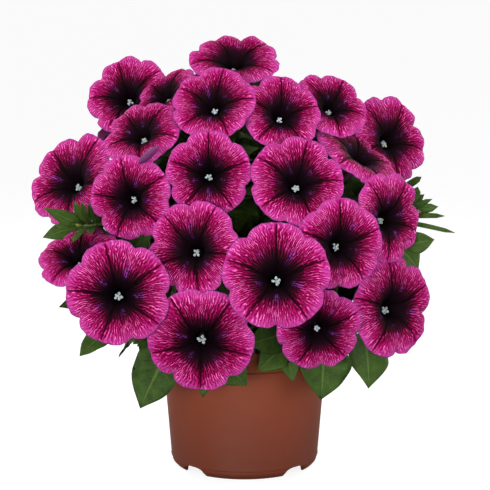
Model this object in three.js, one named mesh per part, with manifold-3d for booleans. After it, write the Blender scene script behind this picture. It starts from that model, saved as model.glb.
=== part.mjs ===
// A potted petunia: a ball of forty funnel flowers on eleven leafy stems, in a 12 cm nursery pot.
// Millimetres, +Z up, the front faces -Y, the origin is on the ground under the middle of the pot.
// Bearings are in degrees round the pot: 0 is the front, 90 the right side, 180 the back.
import * as THREE from "three";
import { mergeVertices } from "three/addons/utils/BufferGeometryUtils.js";
import Module from "manifold-3d";

const wasm = await Module();
wasm.setup();

// The pot
const POT_HEIGHT = 94;
const RIM_RADIUS = 60.5;
const COLLAR_HEIGHT = 17;
const COLLAR_STEP = 0.9;
const WALL_TOP_RADIUS = 59;
const WALL_FOOT_RADIUS = 53.1;
const FOOT_RADIUS = 50;
const FOOT_BAND = 6;
const WALL = 1.6;
const FLOOR = 2;
const POT_SIDES = 32;
const ARCH = { width: 14, height: 6, count: 4 };
const DRAIN = { radius: 4, ring: 30, count: 4 };

// The ball of soil
const FIT_GAP = 0.35;
const SOIL_EDGE = 80;
const SOIL_CROWN = 84;

// A flower, as shares of its own half width
const FUNNEL = [
  [0.06, -0.92],
  [0.075, -0.75],
  [0.105, -0.5],
  [0.16, -0.3],
  [0.24, -0.15],
  [0.36, -0.055],
  [0.55, -0.01],
  [0.78, 0.01],
  [1, -0.02],
];
const LOBES = 5;
const NOTCH = 0.12;
const TIP_DIMPLE = 0.015;
const PETAL_THICKNESS = 0.9;
const PISTIL = { foot: -0.56, head: -0.34, top: -0.3, stalk: 0.03, headRadius: 0.075 };

// Green parts
const STEM_RADII = [2.2, 2.2, 2, 1.7, 1.4];
const STALK_RADII = [1.1, 1.1, 1.1, 1.1];
const TWIG_RADII = [1.2, 1.1, 1];
const BUD_RADII = [0.8, 2.2, 1.9, 0.5];
const BUD_LENGTH = 11;
const CALYX = { radius: 4, inner: 3.1, gap: 0.4, depth: 4.5, sepal: 12, tip: 6.2 };
const ROOT_RING = 26;
const HOLE_RADIUS = 3.4;
const HOLE_DEPTH = 10;
const LEAF_THICKNESS = 1.2;
const BROAD = [
  [0.2, 0.8],
  [0.47, 1],
  [0.76, 0.66],
];
const SMALL = [
  [0.3, 0.95],
  [0.66, 0.8],
];
const NARROW = [[0.45, 1]];

// Leaves among the flowers: how each leans out of the ball, and the room it is tried with
const BALL_MIDDLE = new THREE.Vector3(-6, 0, 182);
const INNER = { length: 34, spread: 8, width: 0.48, outward: 0.9, aside: 0.7, tries: 5 };
const ELBOW_ROOM = { thickness: 3, width: 2 };

const COLOURS = {
  terracotta: { color: 0x84422f, roughness: 0.45 },
  peat: { color: 0x2c1d14, roughness: 0.95 },
  magenta: { color: 0xb7217f, roughness: 0.6 },
  leaf: { color: 0x3a5a22, roughness: 0.65 },
};

// The stems: where each stands in the soil, and how high and how far out its top reaches.
const STEMS = [
  { name: "stem_left", bearing: -44, top: 205, reach: 40 },
  { name: "stem_front_left", bearing: -15, top: 205, reach: 30 },
  { name: "stem_front", bearing: 12, top: 215, reach: 20 },
  { name: "stem_front_right", bearing: 38, top: 165, reach: 38 },
  { name: "stem_right", bearing: 62, top: 210, reach: 32 },
  { name: "stem_far_right", bearing: 90, top: 205, reach: 40 },
  { name: "stem_back_right", bearing: 118, top: 190, reach: 36 },
  { name: "stem_back", bearing: 152, top: 190, reach: 34 },
  { name: "stem_back_middle", bearing: -174, top: 205, reach: 26 },
  { name: "stem_back_left", bearing: -135, top: 190, reach: 36 },
  { name: "stem_far_left", bearing: -88, top: 205, reach: 42 },
];

// The flowers: stem, middle of the rim, where it faces (bearing, climb), half width,
// turn of its first rib, and how far the rim curls back as a share of the half width.
const FLOWERS = [
  [2, -5, -19, 294, 1, 63, 31, 43, 0.06],
  [10, -82, -11, 269, -21, 31, 29, 44, 0.04],
  [1, -21, -70, 271, -10, 40, 29, 10, 0.04],
  [0, -70, -68, 251, -26, 46, 28, 70, 0.1],
  [0, -53, -40, 271, -45, 54, 25, 20, 0.12],
  [10, -121, -31, 213, -37, 31, 35, 0, 0.02],
  [0, -77, -90, 209, -17, 4, 29, 34, 0.08],
  [1, -24, -95, 226, -2, 9, 29, 18, 0.06],
  [2, 25, -68, 264, 14, 32, 28, 10, 0.05],
  [4, 62, -45, 267, 29, 41, 27, 48, 0.05],
  [5, 105, -5, 238, 38, 21, 32, 51, 0.04],
  [4, 79, -55, 234, 61, 53, 33, 39, 0.1],
  [2, 35, -99, 222, 7, 28, 32, 0, 0.06],
  [3, 98, -81, 194, 41, 7, 31, 48, 0.06],
  [3, 64, -110, 181, 20, 7, 31, 16, 0.06],
  [1, -34, -113, 179, -16, 14, 32, 65, 0.05],
  [2, 21, -131, 164, 0, 18, 36, 18, 0.08],
  [0, -83, -129, 152, 3, 10, 35, 33, 0.06],
  [10, -113, -69, 164, -20, 56, 29, 30, 0.08],
  [1, -29, -122, 118, -2, -6, 36, 53, 0.06],
  [3, 51, -92, 118, 12, -13, 30, 25, 0.05],
  [4, 102, -61, 129, 39, 7, 34, 19, 0.08],
  [5, 94, 12, 131, 102, -8, 32, 30, 0.06],
  [6, 74, 69, 132, 130, -14, 32, 5, 0.05],
  [7, 19, 109, 129, 168, -6, 31, 50, 0.08],
  [8, -49, 108, 128, -161, -20, 32, 25, 0.05],
  [9, -91, 52, 133, -122, -8, 32, 65, 0.06],
  [10, -110, -2, 127, -91, -14, 31, 15, 0.06],
  [5, 108, -11, 180, 78, 6, 29, 60, 0.05],
  [6, 101, 49, 190, 116, 12, 32, 35, 0.08],
  [7, 56, 106, 186, 152, 8, 31, 10, 0.06],
  [8, -10, 131, 190, 180, 12, 32, 55, 0.05],
  [9, -75, 102, 185, -148, 8, 31, 40, 0.08],
  [10, -118, 39, 190, -110, 14, 32, 20, 0.06],
  [6, 74, 47, 247, 118, 41, 31, 0, 0.06],
  [7, 27, 94, 243, 162, 40, 32, 45, 0.05],
  [8, -37, 94, 244, -159, 44, 31, 30, 0.07],
  [9, -87, 48, 244, -120, 38, 31, 5, 0.05],
  [5, 47, 9, 275, 100, 64, 27, 50, 0.05],
  [8, -10, 41, 279, -176, 74, 30, 25, 0.06],
].map(([stem, x, y, z, bearing, climb, half, turn, curl], i) => ({
  name: "bloom_" + String(i + 1).padStart(2, "0"),
  seed: i + 1,
  stem,
  middle: new THREE.Vector3(x, y, z),
  basis: facingBasis(bearing, climb),
  half,
  turn: THREE.MathUtils.degToRad(turn),
  curl,
}));

// Leaves placed by eye: stem, share of the way up it, leaf base, leaf tip, width and arch.
const PLACED_LEAVES = [
  [0, 0.2, [-48, -62, 103], [-72, -80, 60], 36, 0.1],
  [0, 0.24, [-62, -56, 110], [-77, -74, 104], 14, 0.05],
  [0, 0.22, [-58, -58, 105], [-74, -84, 105], 12, 0.05],
  [1, 0.21, [-25, -62, 101], [2, -80, 76], 30, 0.08],
  [1, 0.2, [-23, -64, 98], [-29, -77, 67], 18, 0.1],
  [2, 0.2, [28, -62, 102], [9, -78, 86], 22, 0.1],
  [2, 0.24, [26, -58, 108], [2, -84, 106], 24, 0.1],
  [2, 0.18, [28, -64, 98], [34, -74, 77], 14, 0.1],
  [3, 0.24, [54, -52, 102], [53, -68, 63], 40, 0.1],
  [4, 0.2, [83, -30, 102], [87, -52, 67], 32, 0.1],
  [10, 0.24, [-94, -66, 112], [-113, -84, 98], 16, 0.05],
  [10, 0.3, [-104, -64, 134], [-127, -82, 132], 12, 0.05],
  [4, 0.62, [111, -60, 171], [131, -60, 175], 15, 0.05],
  [4, 0.55, [101, -42, 168], [119, -46, 149], 22, 0.15],
  [10, 0.6, [-114, -36, 180], [-141, -42, 173], 14, 0.05],
];

// Shoots with a fan of narrow leaves: stem, share of the way up it, shoot tip, and each leaf's
// tip and width.
const SHOOTS = [
  [4, 0.7, [112, -48, 190], [
    [[120, -48, 210], 8],
    [[113, -56, 208], 8],
    [[125, -44, 204], 5],
    [[130, -52, 202], 4],
    [[135, -42, 195], 7],
    [[139, -52, 190], 4],
    [[147, -46, 177], 5],
  ]],
  [4, 0.85, [106, -38, 204], [
    [[123, -42, 216], 5],
    [[111, -38, 216], 4],
  ]],
  [10, 0.7, [-112, -56, 184], [
    [[-137, -72, 199], 10],
    [[-116, -68, 203], 6],
    [[-110, -74, 204], 5],
    [[-105, -70, 202], 6],
    [[-131, -66, 185], 6],
    [[-99, -64, 199], 6],
  ]],
];

// Leaves round the pot's rim where the flowers leave it open: stem and bearing.
const SKIRT = [
  [4, 74],
  [5, 96],
  [6, 124],
  [7, 148],
  [7, 168],
  [8, -170],
  [8, -148],
  [9, -124],
  [10, -98],
  [10, -74],
];

// A repeatable draw between 0 and 1 from two counting numbers.
function draw(i, k) {
  const s = Math.sin(i * 12.9898 + k * 78.233) * 43758.5453;
  return s - Math.floor(s);
}

// The unit vector at a bearing round the pot and a climb above the level.
function heading(bearing, climb) {
  const b = THREE.MathUtils.degToRad(bearing);
  const c = THREE.MathUtils.degToRad(climb);
  return new THREE.Vector3(Math.sin(b) * Math.cos(c), -Math.cos(b) * Math.cos(c), Math.sin(c));
}

// Axes with z along a heading, x level and y as near to upright as it goes.
function facingBasis(bearing, climb) {
  const z = heading(bearing, climb);
  const x = new THREE.Vector3(0, 0, 1).cross(z).normalize();
  const y = new THREE.Vector3().crossVectors(z, x);
  return new THREE.Matrix4().makeBasis(x, y, z);
}

// The height of a table's curve at r, between its rows.
function between(table, r) {
  let i = 1;
  while (i < table.length - 1 && table[i][0] < r) i++;
  const [r0, z0] = table[i - 1];
  const [r1, z1] = table[i];
  return z0 + ((z1 - z0) * (r - r0)) / (r1 - r0);
}

// Closed solids from points and triangles, and the way back to three.js.
class Shell {
  constructor() {
    this.points = [];
    this.triangles = [];
  }

  // Adds a ring of points, or a single one, and gives their numbers.
  ring(points) {
    const first = this.points.length / 3;
    points.forEach((p) => this.points.push(p.x, p.y, p.z));
    return points.map((_, i) => first + i);
  }

  face(a, b, c, flip) {
    this.triangles.push(...(flip ? [a, c, b] : [a, b, c]));
  }

  // Joins a ring to one of as many points, of half as many, or to a single point.
  stitch(outer, inner, flip) {
    const n = outer.length;
    const m = inner.length;
    for (let j = 0; j < m; j++) {
      const b0 = inner[j];
      const b1 = inner[(j + 1) % m];
      if (m === 1) {
        outer.forEach((a, i) => this.face(a, outer[(i + 1) % n], b0, flip));
      } else if (m === n) {
        const a1 = outer[(j + 1) % n];
        this.face(outer[j], a1, b0, flip);
        this.face(a1, b1, b0, flip);
      } else {
        const [a0, a1, a2] = [outer[2 * j], outer[2 * j + 1], outer[(2 * j + 2) % n]];
        this.face(a0, a1, b0, flip);
        this.face(a1, b1, b0, flip);
        this.face(a1, a2, b1, flip);
      }
    }
  }

  solid() {
    const vertProperties = new Float32Array(this.points);
    const triVerts = new Uint32Array(this.triangles);
    return new wasm.Manifold(new wasm.Mesh({ numProp: 3, vertProperties, triVerts }));
  }
}

function solidOf(geometry) {
  const g = geometry.index ? geometry.toNonIndexed() : geometry.clone();
  g.deleteAttribute("normal");
  g.deleteAttribute("uv");
  const merged = mergeVertices(g, 1e-4);
  const index = merged.index.array;
  const kept = [];
  for (let i = 0; i < index.length; i += 3) {
    const [a, b, c] = [index[i], index[i + 1], index[i + 2]];
    if (a !== b && b !== c && c !== a) kept.push(a, b, c);
  }
  const vertProperties = merged.attributes.position.array;
  return new wasm.Manifold(new wasm.Mesh({ numProp: 3, vertProperties, triVerts: new Uint32Array(kept) }));
}

function geometryOf(solid) {
  const m = solid.getMesh();
  const position = new Float32Array(m.numVert * 3);
  for (let i = 0; i < m.numVert; i++) {
    position.set(m.vertProperties.subarray(i * m.numProp, i * m.numProp + 3), i * 3);
  }
  const g = new THREE.BufferGeometry();
  g.setAttribute("position", new THREE.BufferAttribute(position, 3));
  g.setIndex(new THREE.BufferAttribute(m.triVerts, 1));
  return g;
}

function named(name, geometry, finish) {
  const mesh = new THREE.Mesh(geometry, new THREE.MeshStandardMaterial(COLOURS[finish]));
  mesh.name = name;
  return mesh;
}

// Turned round the upright axis from a profile of [radius, height] rows.
function turned(profile, sides) {
  const lathe = new THREE.LatheGeometry(profile.map(([r, z]) => new THREE.Vector2(r, z)), sides);
  return solidOf(lathe.rotateX(Math.PI / 2));
}

function post(radius, bottom, top, sides, at) {
  const g = new THREE.CylinderGeometry(radius, radius, top - bottom, sides).rotateX(Math.PI / 2);
  return solidOf(g.translate(at.x, at.y, (top + bottom) / 2));
}

// A round limb along a curve, with a radius at each of its steps.
function limb(curve, radii, sides) {
  const steps = radii.length - 1;
  const shell = new Shell();
  const tangent = curve.getTangent(0);
  let side = new THREE.Vector3(0.3, 1, 0.2).cross(tangent).normalize();
  let last;
  for (let i = 0; i <= steps; i++) {
    const t = curve.getTangent(i / steps);
    side = side.clone().addScaledVector(t, -side.dot(t)).normalize();
    const over = new THREE.Vector3().crossVectors(t, side);
    const at = curve.getPoint(i / steps);
    const ring = shell.ring(
      Array.from({ length: sides }, (_, j) => {
        const a = (2 * Math.PI * j) / sides;
        const p = at.clone().addScaledVector(side, radii[i] * Math.cos(a));
        return p.addScaledVector(over, radii[i] * Math.sin(a));
      }),
    );
    if (last) shell.stitch(last, ring);
    else shell.stitch(ring, shell.ring([at]), true);
    if (i === steps) shell.stitch(ring, shell.ring([at]));
    last = ring;
  }
  return shell.solid();
}

// The pot: a tapered cup with a collar, a raised floor, arches in its foot and drain holes.
function pot() {
  const collarFoot = POT_HEIGHT - COLLAR_HEIGHT;
  const inside = RIM_RADIUS - WALL - 0.4;
  const cup = turned(
    [
      [0, FOOT_BAND],
      [FOOT_RADIUS - 2.4, FOOT_BAND],
      [FOOT_RADIUS - 2, 0],
      [FOOT_RADIUS, 0],
      [WALL_FOOT_RADIUS - 0.8, 2.6],
      [WALL_FOOT_RADIUS - 0.4, FOOT_BAND - 0.2],
      [WALL_FOOT_RADIUS, FOOT_BAND],
      [WALL_TOP_RADIUS, collarFoot],
      [WALL_TOP_RADIUS + COLLAR_STEP, collarFoot + 0.3],
      [RIM_RADIUS - 0.2, POT_HEIGHT - 2],
      [RIM_RADIUS + 0.3, POT_HEIGHT - 1.4],
      [RIM_RADIUS + 0.3, POT_HEIGHT],
      [inside + 0.6, POT_HEIGHT],
      [inside, collarFoot + 0.8],
      [WALL_TOP_RADIUS - WALL, collarFoot - 0.2],
      [WALL_FOOT_RADIUS - WALL, FOOT_BAND + FLOOR],
      [0, FOOT_BAND + FLOOR],
    ],
    POT_SIDES,
  );
  let cut = post(DRAIN.radius, 0, FOOT_BAND + FLOOR + 1, 8, new THREE.Vector3());
  for (let i = 0; i < DRAIN.count; i++) {
    const at = heading((360 * i) / DRAIN.count, 0).multiplyScalar(DRAIN.ring);
    cut = cut.add(post(DRAIN.radius, 0, FOOT_BAND + FLOOR + 1, 8, at));
  }
  for (let i = 0; i < ARCH.count; i++) {
    const bearing = 45 + (360 * i) / ARCH.count;
    const door = new THREE.CylinderGeometry(ARCH.width / 2, ARCH.width / 2, 12, 10);
    door.scale(1, 1, ARCH.height / (ARCH.width / 2)).translate(0, FOOT_RADIUS, 0);
    cut = cut.add(solidOf(door.rotateZ(THREE.MathUtils.degToRad(bearing + 180))));
  }
  return named("pot", geometryOf(cup.subtract(cut)), "terracotta");
}

// Where a stem stands in the soil.
function rootOf(stem) {
  return heading(stem.bearing, 0).multiplyScalar(ROOT_RING);
}

// The ball of soil, the shape of the pot's inside, with a hole for each stem.
function soil() {
  const foot = FOOT_BAND + FLOOR;
  const collarFoot = POT_HEIGHT - COLLAR_HEIGHT;
  let ball = turned(
    [
      [0, foot + FIT_GAP],
      [WALL_FOOT_RADIUS - WALL - FIT_GAP, foot + FIT_GAP],
      [WALL_TOP_RADIUS - WALL - FIT_GAP, collarFoot - 0.6],
      [WALL_TOP_RADIUS - WALL - FIT_GAP, SOIL_EDGE],
      [0.65 * WALL_TOP_RADIUS, SOIL_CROWN - 1],
      [0, SOIL_CROWN],
    ],
    POT_SIDES,
  );
  for (const stem of STEMS) {
    const deep = SOIL_EDGE - HOLE_DEPTH;
    ball = ball.subtract(post(HOLE_RADIUS, deep, SOIL_CROWN + 5, 6, rootOf(stem)));
  }
  return named("soil", geometryOf(ball), "peat");
}

// A point of a flower's sheet: angle round it, share of the way out, and side (+1 front, -1 back).
function petalPoint(f, angle, share, side) {
  const fromRib = (angle - f.turn) / (Math.PI / LOBES);
  const t = Math.abs(fromRib - 2 * Math.round(fromRib / 2));
  const edge = 1 - NOTCH * t ** 5 - TIP_DIMPLE * (1 - t) ** 6;
  const open = share * share;
  const radius = share * (1 + (edge - 1) * open);
  const outer = Math.max(0, (share - 0.5) / 0.5);
  const bulge = 0.035 * Math.sin(Math.PI * t) ** 2 - 0.03 * t ** 6;
  const sway =
    0.025 * Math.sin(3 * angle + 6.3 * draw(f.seed, 1)) + 0.014 * Math.sin(7 * angle + 6.3 * draw(f.seed, 2));
  const height = between(FUNNEL, share) + open * bulge + share ** 3 * sway - f.curl * outer * outer;
  const rise = (between(FUNNEL, share + 0.01) - between(FUNNEL, share - 0.01)) / 0.02;
  const lean = share < 1 ? (side * PETAL_THICKNESS) / 2 / Math.hypot(1, rise) : 0;
  const r = radius * f.half - rise * lean;
  return new THREE.Vector3(r * Math.cos(angle), r * Math.sin(angle), height * f.half + lean);
}

function petalRing(f, count, share, side) {
  return Array.from({ length: count }, (_, i) => petalPoint(f, f.turn + (2 * Math.PI * i) / count, share, side));
}

function pistilRing(f, radius, height) {
  return Array.from({ length: LOBES }, (_, i) => {
    const a = f.turn + (2 * Math.PI * i) / LOBES;
    return new THREE.Vector3(Math.cos(a) * radius, Math.sin(a) * radius, height).multiplyScalar(f.half);
  });
}

// A flower: one thin sheet from the five-lobed rim down into its tube, with the pistil inside.
function flower(f) {
  const shell = new Shell();
  const rings = [
    [2 * LOBES, 0.75],
    [2 * LOBES, 0.4],
    [LOBES, 0.17],
  ];
  const rim = shell.ring(petalRing(f, 4 * LOBES, 1, 0));
  for (const side of [1, -1]) {
    let last = rim;
    const down = rings.map(([count, share]) => petalRing(f, count, share, side));
    if (side > 0) {
      down.push(pistilRing(f, PISTIL.stalk, PISTIL.foot));
      down.push(pistilRing(f, PISTIL.headRadius, PISTIL.head));
      down.push([new THREE.Vector3(0, 0, PISTIL.top * f.half)]);
    } else {
      down.push(petalRing(f, LOBES, 0.061, side));
      down.push([new THREE.Vector3(0, 0, FUNNEL[0][1] * f.half)]);
    }
    for (const points of down) {
      const next = shell.ring(points);
      shell.stitch(last, next, side < 0);
      last = next;
    }
  }
  return shell.solid();
}

// The matrix that stands a flower in its place.
function placeOf(f) {
  return f.basis.clone().setPosition(f.middle);
}

function placedFlower(f) {
  const mesh = named(f.name, geometryOf(flower(f)), "magenta");
  mesh.position.copy(f.middle);
  mesh.quaternion.setFromRotationMatrix(f.basis);
  return mesh;
}

// The line of a stem, from its hole in the soil to its top.
function stemCurve(stem) {
  const at = (r, z) => heading(stem.bearing, 0).multiplyScalar(r).setZ(z);
  const foot = SOIL_EDGE - HOLE_DEPTH + FIT_GAP;
  const bend = (foot + stem.top) / 2;
  return new THREE.CubicBezierCurve3(
    at(ROOT_RING, foot),
    at(ROOT_RING, bend),
    at(stem.reach, bend + 10),
    at(stem.reach, stem.top),
  );
}

// The end of a flower's stalk, inside its calyx.
function seatOf(f) {
  const inside = CALYX.gap + 1.5;
  return new THREE.Vector3(0, 0, FUNNEL[0][1] * f.half - inside).applyMatrix4(placeOf(f));
}

// The line of a flower's stalk, out of its stem and straight into the flower's foot.
function stalkCurve(f) {
  const stem = STEMS[f.stem];
  const line = stemCurve(stem);
  const seat = seatOf(f);
  const share = THREE.MathUtils.clamp((seat.z - 100) / (stem.top - 70), 0.22, 1);
  const start = line.getPoint(share);
  const arm = 0.4 * start.distanceTo(seat);
  const away = heading(stem.bearing, 45);
  const axis = new THREE.Vector3().setFromMatrixColumn(f.basis, 2);
  return new THREE.CubicBezierCurve3(
    start,
    start.clone().addScaledVector(away, 0.7 * arm),
    seat.clone().addScaledVector(axis, -arm),
    seat,
  );
}

// A calyx: a small star cup of five pointed sepals round the flower's foot, in the flower's frame.
function calyx(f) {
  const foot = FUNNEL[0][1] * f.half - CALYX.gap;
  const point = (radius, turn, height) => {
    const a = f.turn + (2 * Math.PI * turn) / LOBES;
    return new THREE.Vector3(radius * Math.cos(a), radius * Math.sin(a), height);
  };
  const five = [0, 1, 2, 3, 4];
  const shell = new Shell();
  const [under] = shell.ring([new THREE.Vector3(0, 0, foot - CALYX.depth)]);
  const [floor] = shell.ring([new THREE.Vector3(0, 0, foot)]);
  const outer = shell.ring(five.map((i) => point(CALYX.radius, i, foot - 1.2)));
  const inner = shell.ring(five.map((i) => point(CALYX.inner, i, foot - 0.4)));
  const tips = shell.ring(five.map((i) => point(CALYX.tip, i + 0.5, foot + CALYX.sepal)));
  for (const i of five) {
    const j = (i + 1) % LOBES;
    shell.face(under, outer[j], outer[i]);
    shell.face(floor, inner[i], inner[j]);
    shell.face(outer[i], outer[j], tips[i]);
    shell.face(inner[j], inner[i], tips[i]);
    shell.face(outer[i], tips[i], inner[i]);
    shell.face(outer[j], inner[j], tips[i]);
  }
  return shell.solid();
}

// A stalk with its calyx.
function stalk(f) {
  return limb(stalkCurve(f), STALK_RADII, 3).add(calyx(f).transform(placeOf(f).elements));
}

// A leaf: a thin blade from base to tip, its upper side towards up, bowed by arch.
function leaf(outline, base, tip, width, arch, up, thickness = LEAF_THICKNESS) {
  const along = tip.clone().sub(base);
  const over = new THREE.Vector3().crossVectors(along, up).normalize();
  const lift = new THREE.Vector3().crossVectors(over, along).normalize();
  const bow = arch * along.length();
  const spine = (u) => base.clone().addScaledVector(along, u).addScaledVector(lift, 4 * bow * u * (1 - u));
  const shell = new Shell();
  const [foot] = shell.ring([base]);
  const [point] = shell.ring([tip]);
  const rows = outline.map(([u, w]) => {
    const p = spine(u);
    const edge = (side) =>
      p.clone().addScaledVector(over, (side * w * width) / 2).addScaledVector(lift, 0.08 * w * width);
    const mid = (side) => p.clone().addScaledVector(lift, (side * thickness) / 2);
    return shell.ring([edge(-1), edge(1), mid(1), mid(-1)]);
  });
  for (const [side, m] of [[1, 2], [-1, 3]]) {
    const flip = side < 0;
    const first = rows[0];
    shell.face(foot, first[1], first[m], flip);
    shell.face(foot, first[m], first[0], flip);
    for (let i = 1; i < rows.length; i++) {
      const [a, b] = [rows[i - 1], rows[i]];
      shell.face(a[m], a[1], b[1], flip);
      shell.face(a[m], b[1], b[m], flip);
      shell.face(a[0], a[m], b[m], flip);
      shell.face(a[0], b[m], b[0], flip);
    }
    const last = rows[rows.length - 1];
    shell.face(last[1], point, last[m], flip);
    shell.face(last[m], point, last[0], flip);
  }
  return shell.solid();
}

// The line of a leaf stalk or side shoot, from a share of the way up a stem to its end.
function twigCurve(stem, share, end, ahead) {
  const start = stemCurve(stem).getPoint(share);
  const arm = 0.35 * start.distanceTo(end);
  const rise = heading(stem.bearing, 30);
  return new THREE.CubicBezierCurve3(
    start,
    start.clone().addScaledVector(rise, arm),
    end.clone().addScaledVector(ahead, -arm),
    end,
  );
}

function twig(curve) {
  return limb(curve, TWIG_RADII, 3);
}

// A point on the last straight piece of a twig, a share of it back from the end.
function shortOf(curve, back) {
  return curve.getPoint(1).lerp(curve.getPoint(0.5), back);
}

// A leaf on its own stalk, from the row of a list of leaves.
function stalkedLeaf([, share, base, tip, width, arch], stem) {
  const foot = new THREE.Vector3(...base);
  const point = new THREE.Vector3(...tip);
  const curve = twigCurve(stem, share, foot, point.clone().sub(foot).normalize());
  const up = foot.clone().setZ(0).normalize().setZ(0.6);
  return twig(curve).add(leaf(width > 15 ? BROAD : SMALL, shortOf(curve, 0.1), point, width, arch, up));
}

// A side shoot with a bud at its end and its fan of leaves, one behind another.
function shoot([, share, at, fan], stem) {
  const end = new THREE.Vector3(...at);
  const out = end.clone().setZ(0).normalize();
  const curve = twigCurve(stem, share, end, out);
  const up = out.clone().setZ(0.3);
  const blades = fan.map(([tip, width], i) => {
    const outline = width > 8 ? SMALL : NARROW;
    return leaf(outline, shortOf(curve, 0.02 + 0.08 * i), new THREE.Vector3(...tip), width, 0.06, up);
  });
  const budTip = end.clone().addScaledVector(up, BUD_LENGTH);
  const bud = limb(new THREE.LineCurve3(shortOf(curve, 0.02), budTip), BUD_RADII, 4);
  return wasm.Manifold.union([twig(curve), bud, ...blades]);
}

// The row of a leaf that leans out over the pot's rim.
function skirtRow([stem, bearing], i) {
  const base = heading(bearing, 0).multiplyScalar(62).setZ(99);
  const tip = heading(bearing + 12 * (draw(i, 5) - 0.5), 0).multiplyScalar(86 + 10 * draw(i, 6));
  tip.setZ(64 + 12 * draw(i, 7));
  return [stem, 0.2, base.toArray(), tip.toArray(), 26 + 8 * draw(i, 8), 0.1];
}

// A stem with everything that is placed by eye on it.
function stemWithStalks(stem, index) {
  const rows = [...PLACED_LEAVES, ...SKIRT.map(skirtRow)];
  return wasm.Manifold.union([
    limb(stemCurve(stem), STEM_RADII, 5),
    ...rows.filter(([k]) => k === index).map((row) => stalkedLeaf(row, stem)),
    ...SHOOTS.filter(([k]) => k === index).map((row) => shoot(row, stem)),
    ...FLOWERS.filter((f) => f.stem === index).map(stalk),
  ]);
}

// A try at a leaf among the flowers: it springs from a flower's stalk and leans out of the ball.
function innerLeaf(f, order, attempt) {
  const base = stalkCurve(f).getPoint((order + 1) / 3);
  const out = base.clone().sub(BALL_MIDDLE).normalize();
  const level = new THREE.Vector3(0, 0, 1).cross(out).normalize();
  const steep = new THREE.Vector3().crossVectors(out, level);
  const turn = 2 * Math.PI * (draw(f.seed, 20 + order) + attempt / INNER.tries);
  const length = (INNER.length + INNER.spread * draw(f.seed, 30 + order)) * (1 - 0.06 * attempt);
  const ahead = out.clone().multiplyScalar(INNER.outward);
  ahead.addScaledVector(level, INNER.aside * Math.cos(turn));
  ahead.addScaledVector(steep, INNER.aside * Math.sin(turn)).normalize();
  const tip = base.clone().addScaledVector(ahead, length);
  const up = out.clone().setZ(out.z + 0.4);
  return (thickness, spare) => leaf(SMALL, base, tip, INNER.width * length + spare, 0.08, up, thickness);
}

// Adds the leaves among the flowers, each the first of a few tries that keeps clear of the rest.
function addInnerLeaves(stems, others) {
  for (const order of [1, 0]) {
    for (const f of FLOWERS.filter((_, i) => order || i % 3 === 0)) {
      const rest = [...others, ...stems.filter((_, i) => i !== f.stem)];
      for (let attempt = 0; attempt < INNER.tries; attempt++) {
        const blade = innerLeaf(f, order, attempt);
        const roomy = blade(ELBOW_ROOM.thickness, ELBOW_ROOM.width);
        if (rest.some((other) => !roomy.intersect(other).isEmpty())) continue;
        stems[f.stem] = stems[f.stem].add(blade(LEAF_THICKNESS, 0));
        break;
      }
    }
  }
}

const fixed = [pot(), soil()];
const stems = STEMS.map(stemWithStalks);
addInnerLeaves(stems, [
  ...fixed.map((mesh) => solidOf(mesh.geometry)),
  ...FLOWERS.map((f) => flower(f).transform(placeOf(f).elements)),
]);

const group = new THREE.Group();
group.add(...fixed, ...FLOWERS.map(placedFlower));
group.add(...stems.map((solid, i) => named(STEMS[i].name, geometryOf(solid), "leaf")));
export default group;
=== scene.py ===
"""A potted petunia in flower: forty veined funnel flowers on leafy stems in a nursery pot."""
import logging
import math
from dataclasses import dataclass
from enum import Enum
from typing import Any, Sequence, Union

import bmesh
import bpy
import numpy as np
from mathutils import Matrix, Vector

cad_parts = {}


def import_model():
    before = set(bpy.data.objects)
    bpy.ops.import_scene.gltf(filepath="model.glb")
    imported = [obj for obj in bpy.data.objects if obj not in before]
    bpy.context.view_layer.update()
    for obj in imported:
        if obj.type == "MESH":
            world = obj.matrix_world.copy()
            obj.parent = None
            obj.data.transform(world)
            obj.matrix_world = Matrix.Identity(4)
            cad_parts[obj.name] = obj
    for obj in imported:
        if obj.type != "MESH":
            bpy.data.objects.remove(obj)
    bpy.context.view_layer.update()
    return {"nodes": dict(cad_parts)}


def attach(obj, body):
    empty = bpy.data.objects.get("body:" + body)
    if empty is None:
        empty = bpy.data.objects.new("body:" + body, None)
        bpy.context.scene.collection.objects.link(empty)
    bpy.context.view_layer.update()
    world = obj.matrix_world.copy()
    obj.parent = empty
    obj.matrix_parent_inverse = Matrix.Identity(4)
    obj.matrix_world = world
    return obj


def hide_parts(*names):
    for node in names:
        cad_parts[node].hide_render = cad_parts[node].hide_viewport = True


Array = np.ndarray
Stops = tuple[tuple[float, str], ...]
LOG = logging.getLogger("petunia")
MM = 0.001
UP = np.array([0.0, 0.0, 1.0])
FRONT = np.array([0.0, -1.0, 0.0])
WHITE = (1.0, 1.0, 1.0)
WELD = 2e-6


def draw(i: int, k: int) -> float:
    """A repeatable draw between 0 and 1 from two counting numbers."""
    s = math.sin(i * 12.9898 + k * 78.233) * 43758.5453
    return s - math.floor(s)


def heading(bearing: float, climb: float) -> Array:
    """The unit vector at a bearing round the pot and a climb above the level, in degrees."""
    b, c = math.radians(bearing), math.radians(climb)
    return np.array([math.sin(b) * math.cos(c), -math.cos(b) * math.cos(c), math.sin(c)])


def unit(v: Array) -> Array:
    """A vector at length one."""
    return v / np.linalg.norm(v)


def fade(x: Array, low: float, high: float) -> Array:
    """A smooth rise from 0 at low to 1 at high."""
    t = np.clip((np.asarray(x, float) - low) / (high - low), 0, 1)
    return t * t * (3 - 2 * t)


def ring_angles(sides: int) -> Array:
    """Evenly spaced angles round a ring."""
    return np.arange(sides) * math.tau / sides


def level_axes(out: Array) -> tuple[Array, Array]:
    """The level way across out, and the way square to both."""
    level = unit(np.cross(UP, out))
    return level, np.cross(out, level)


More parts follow.
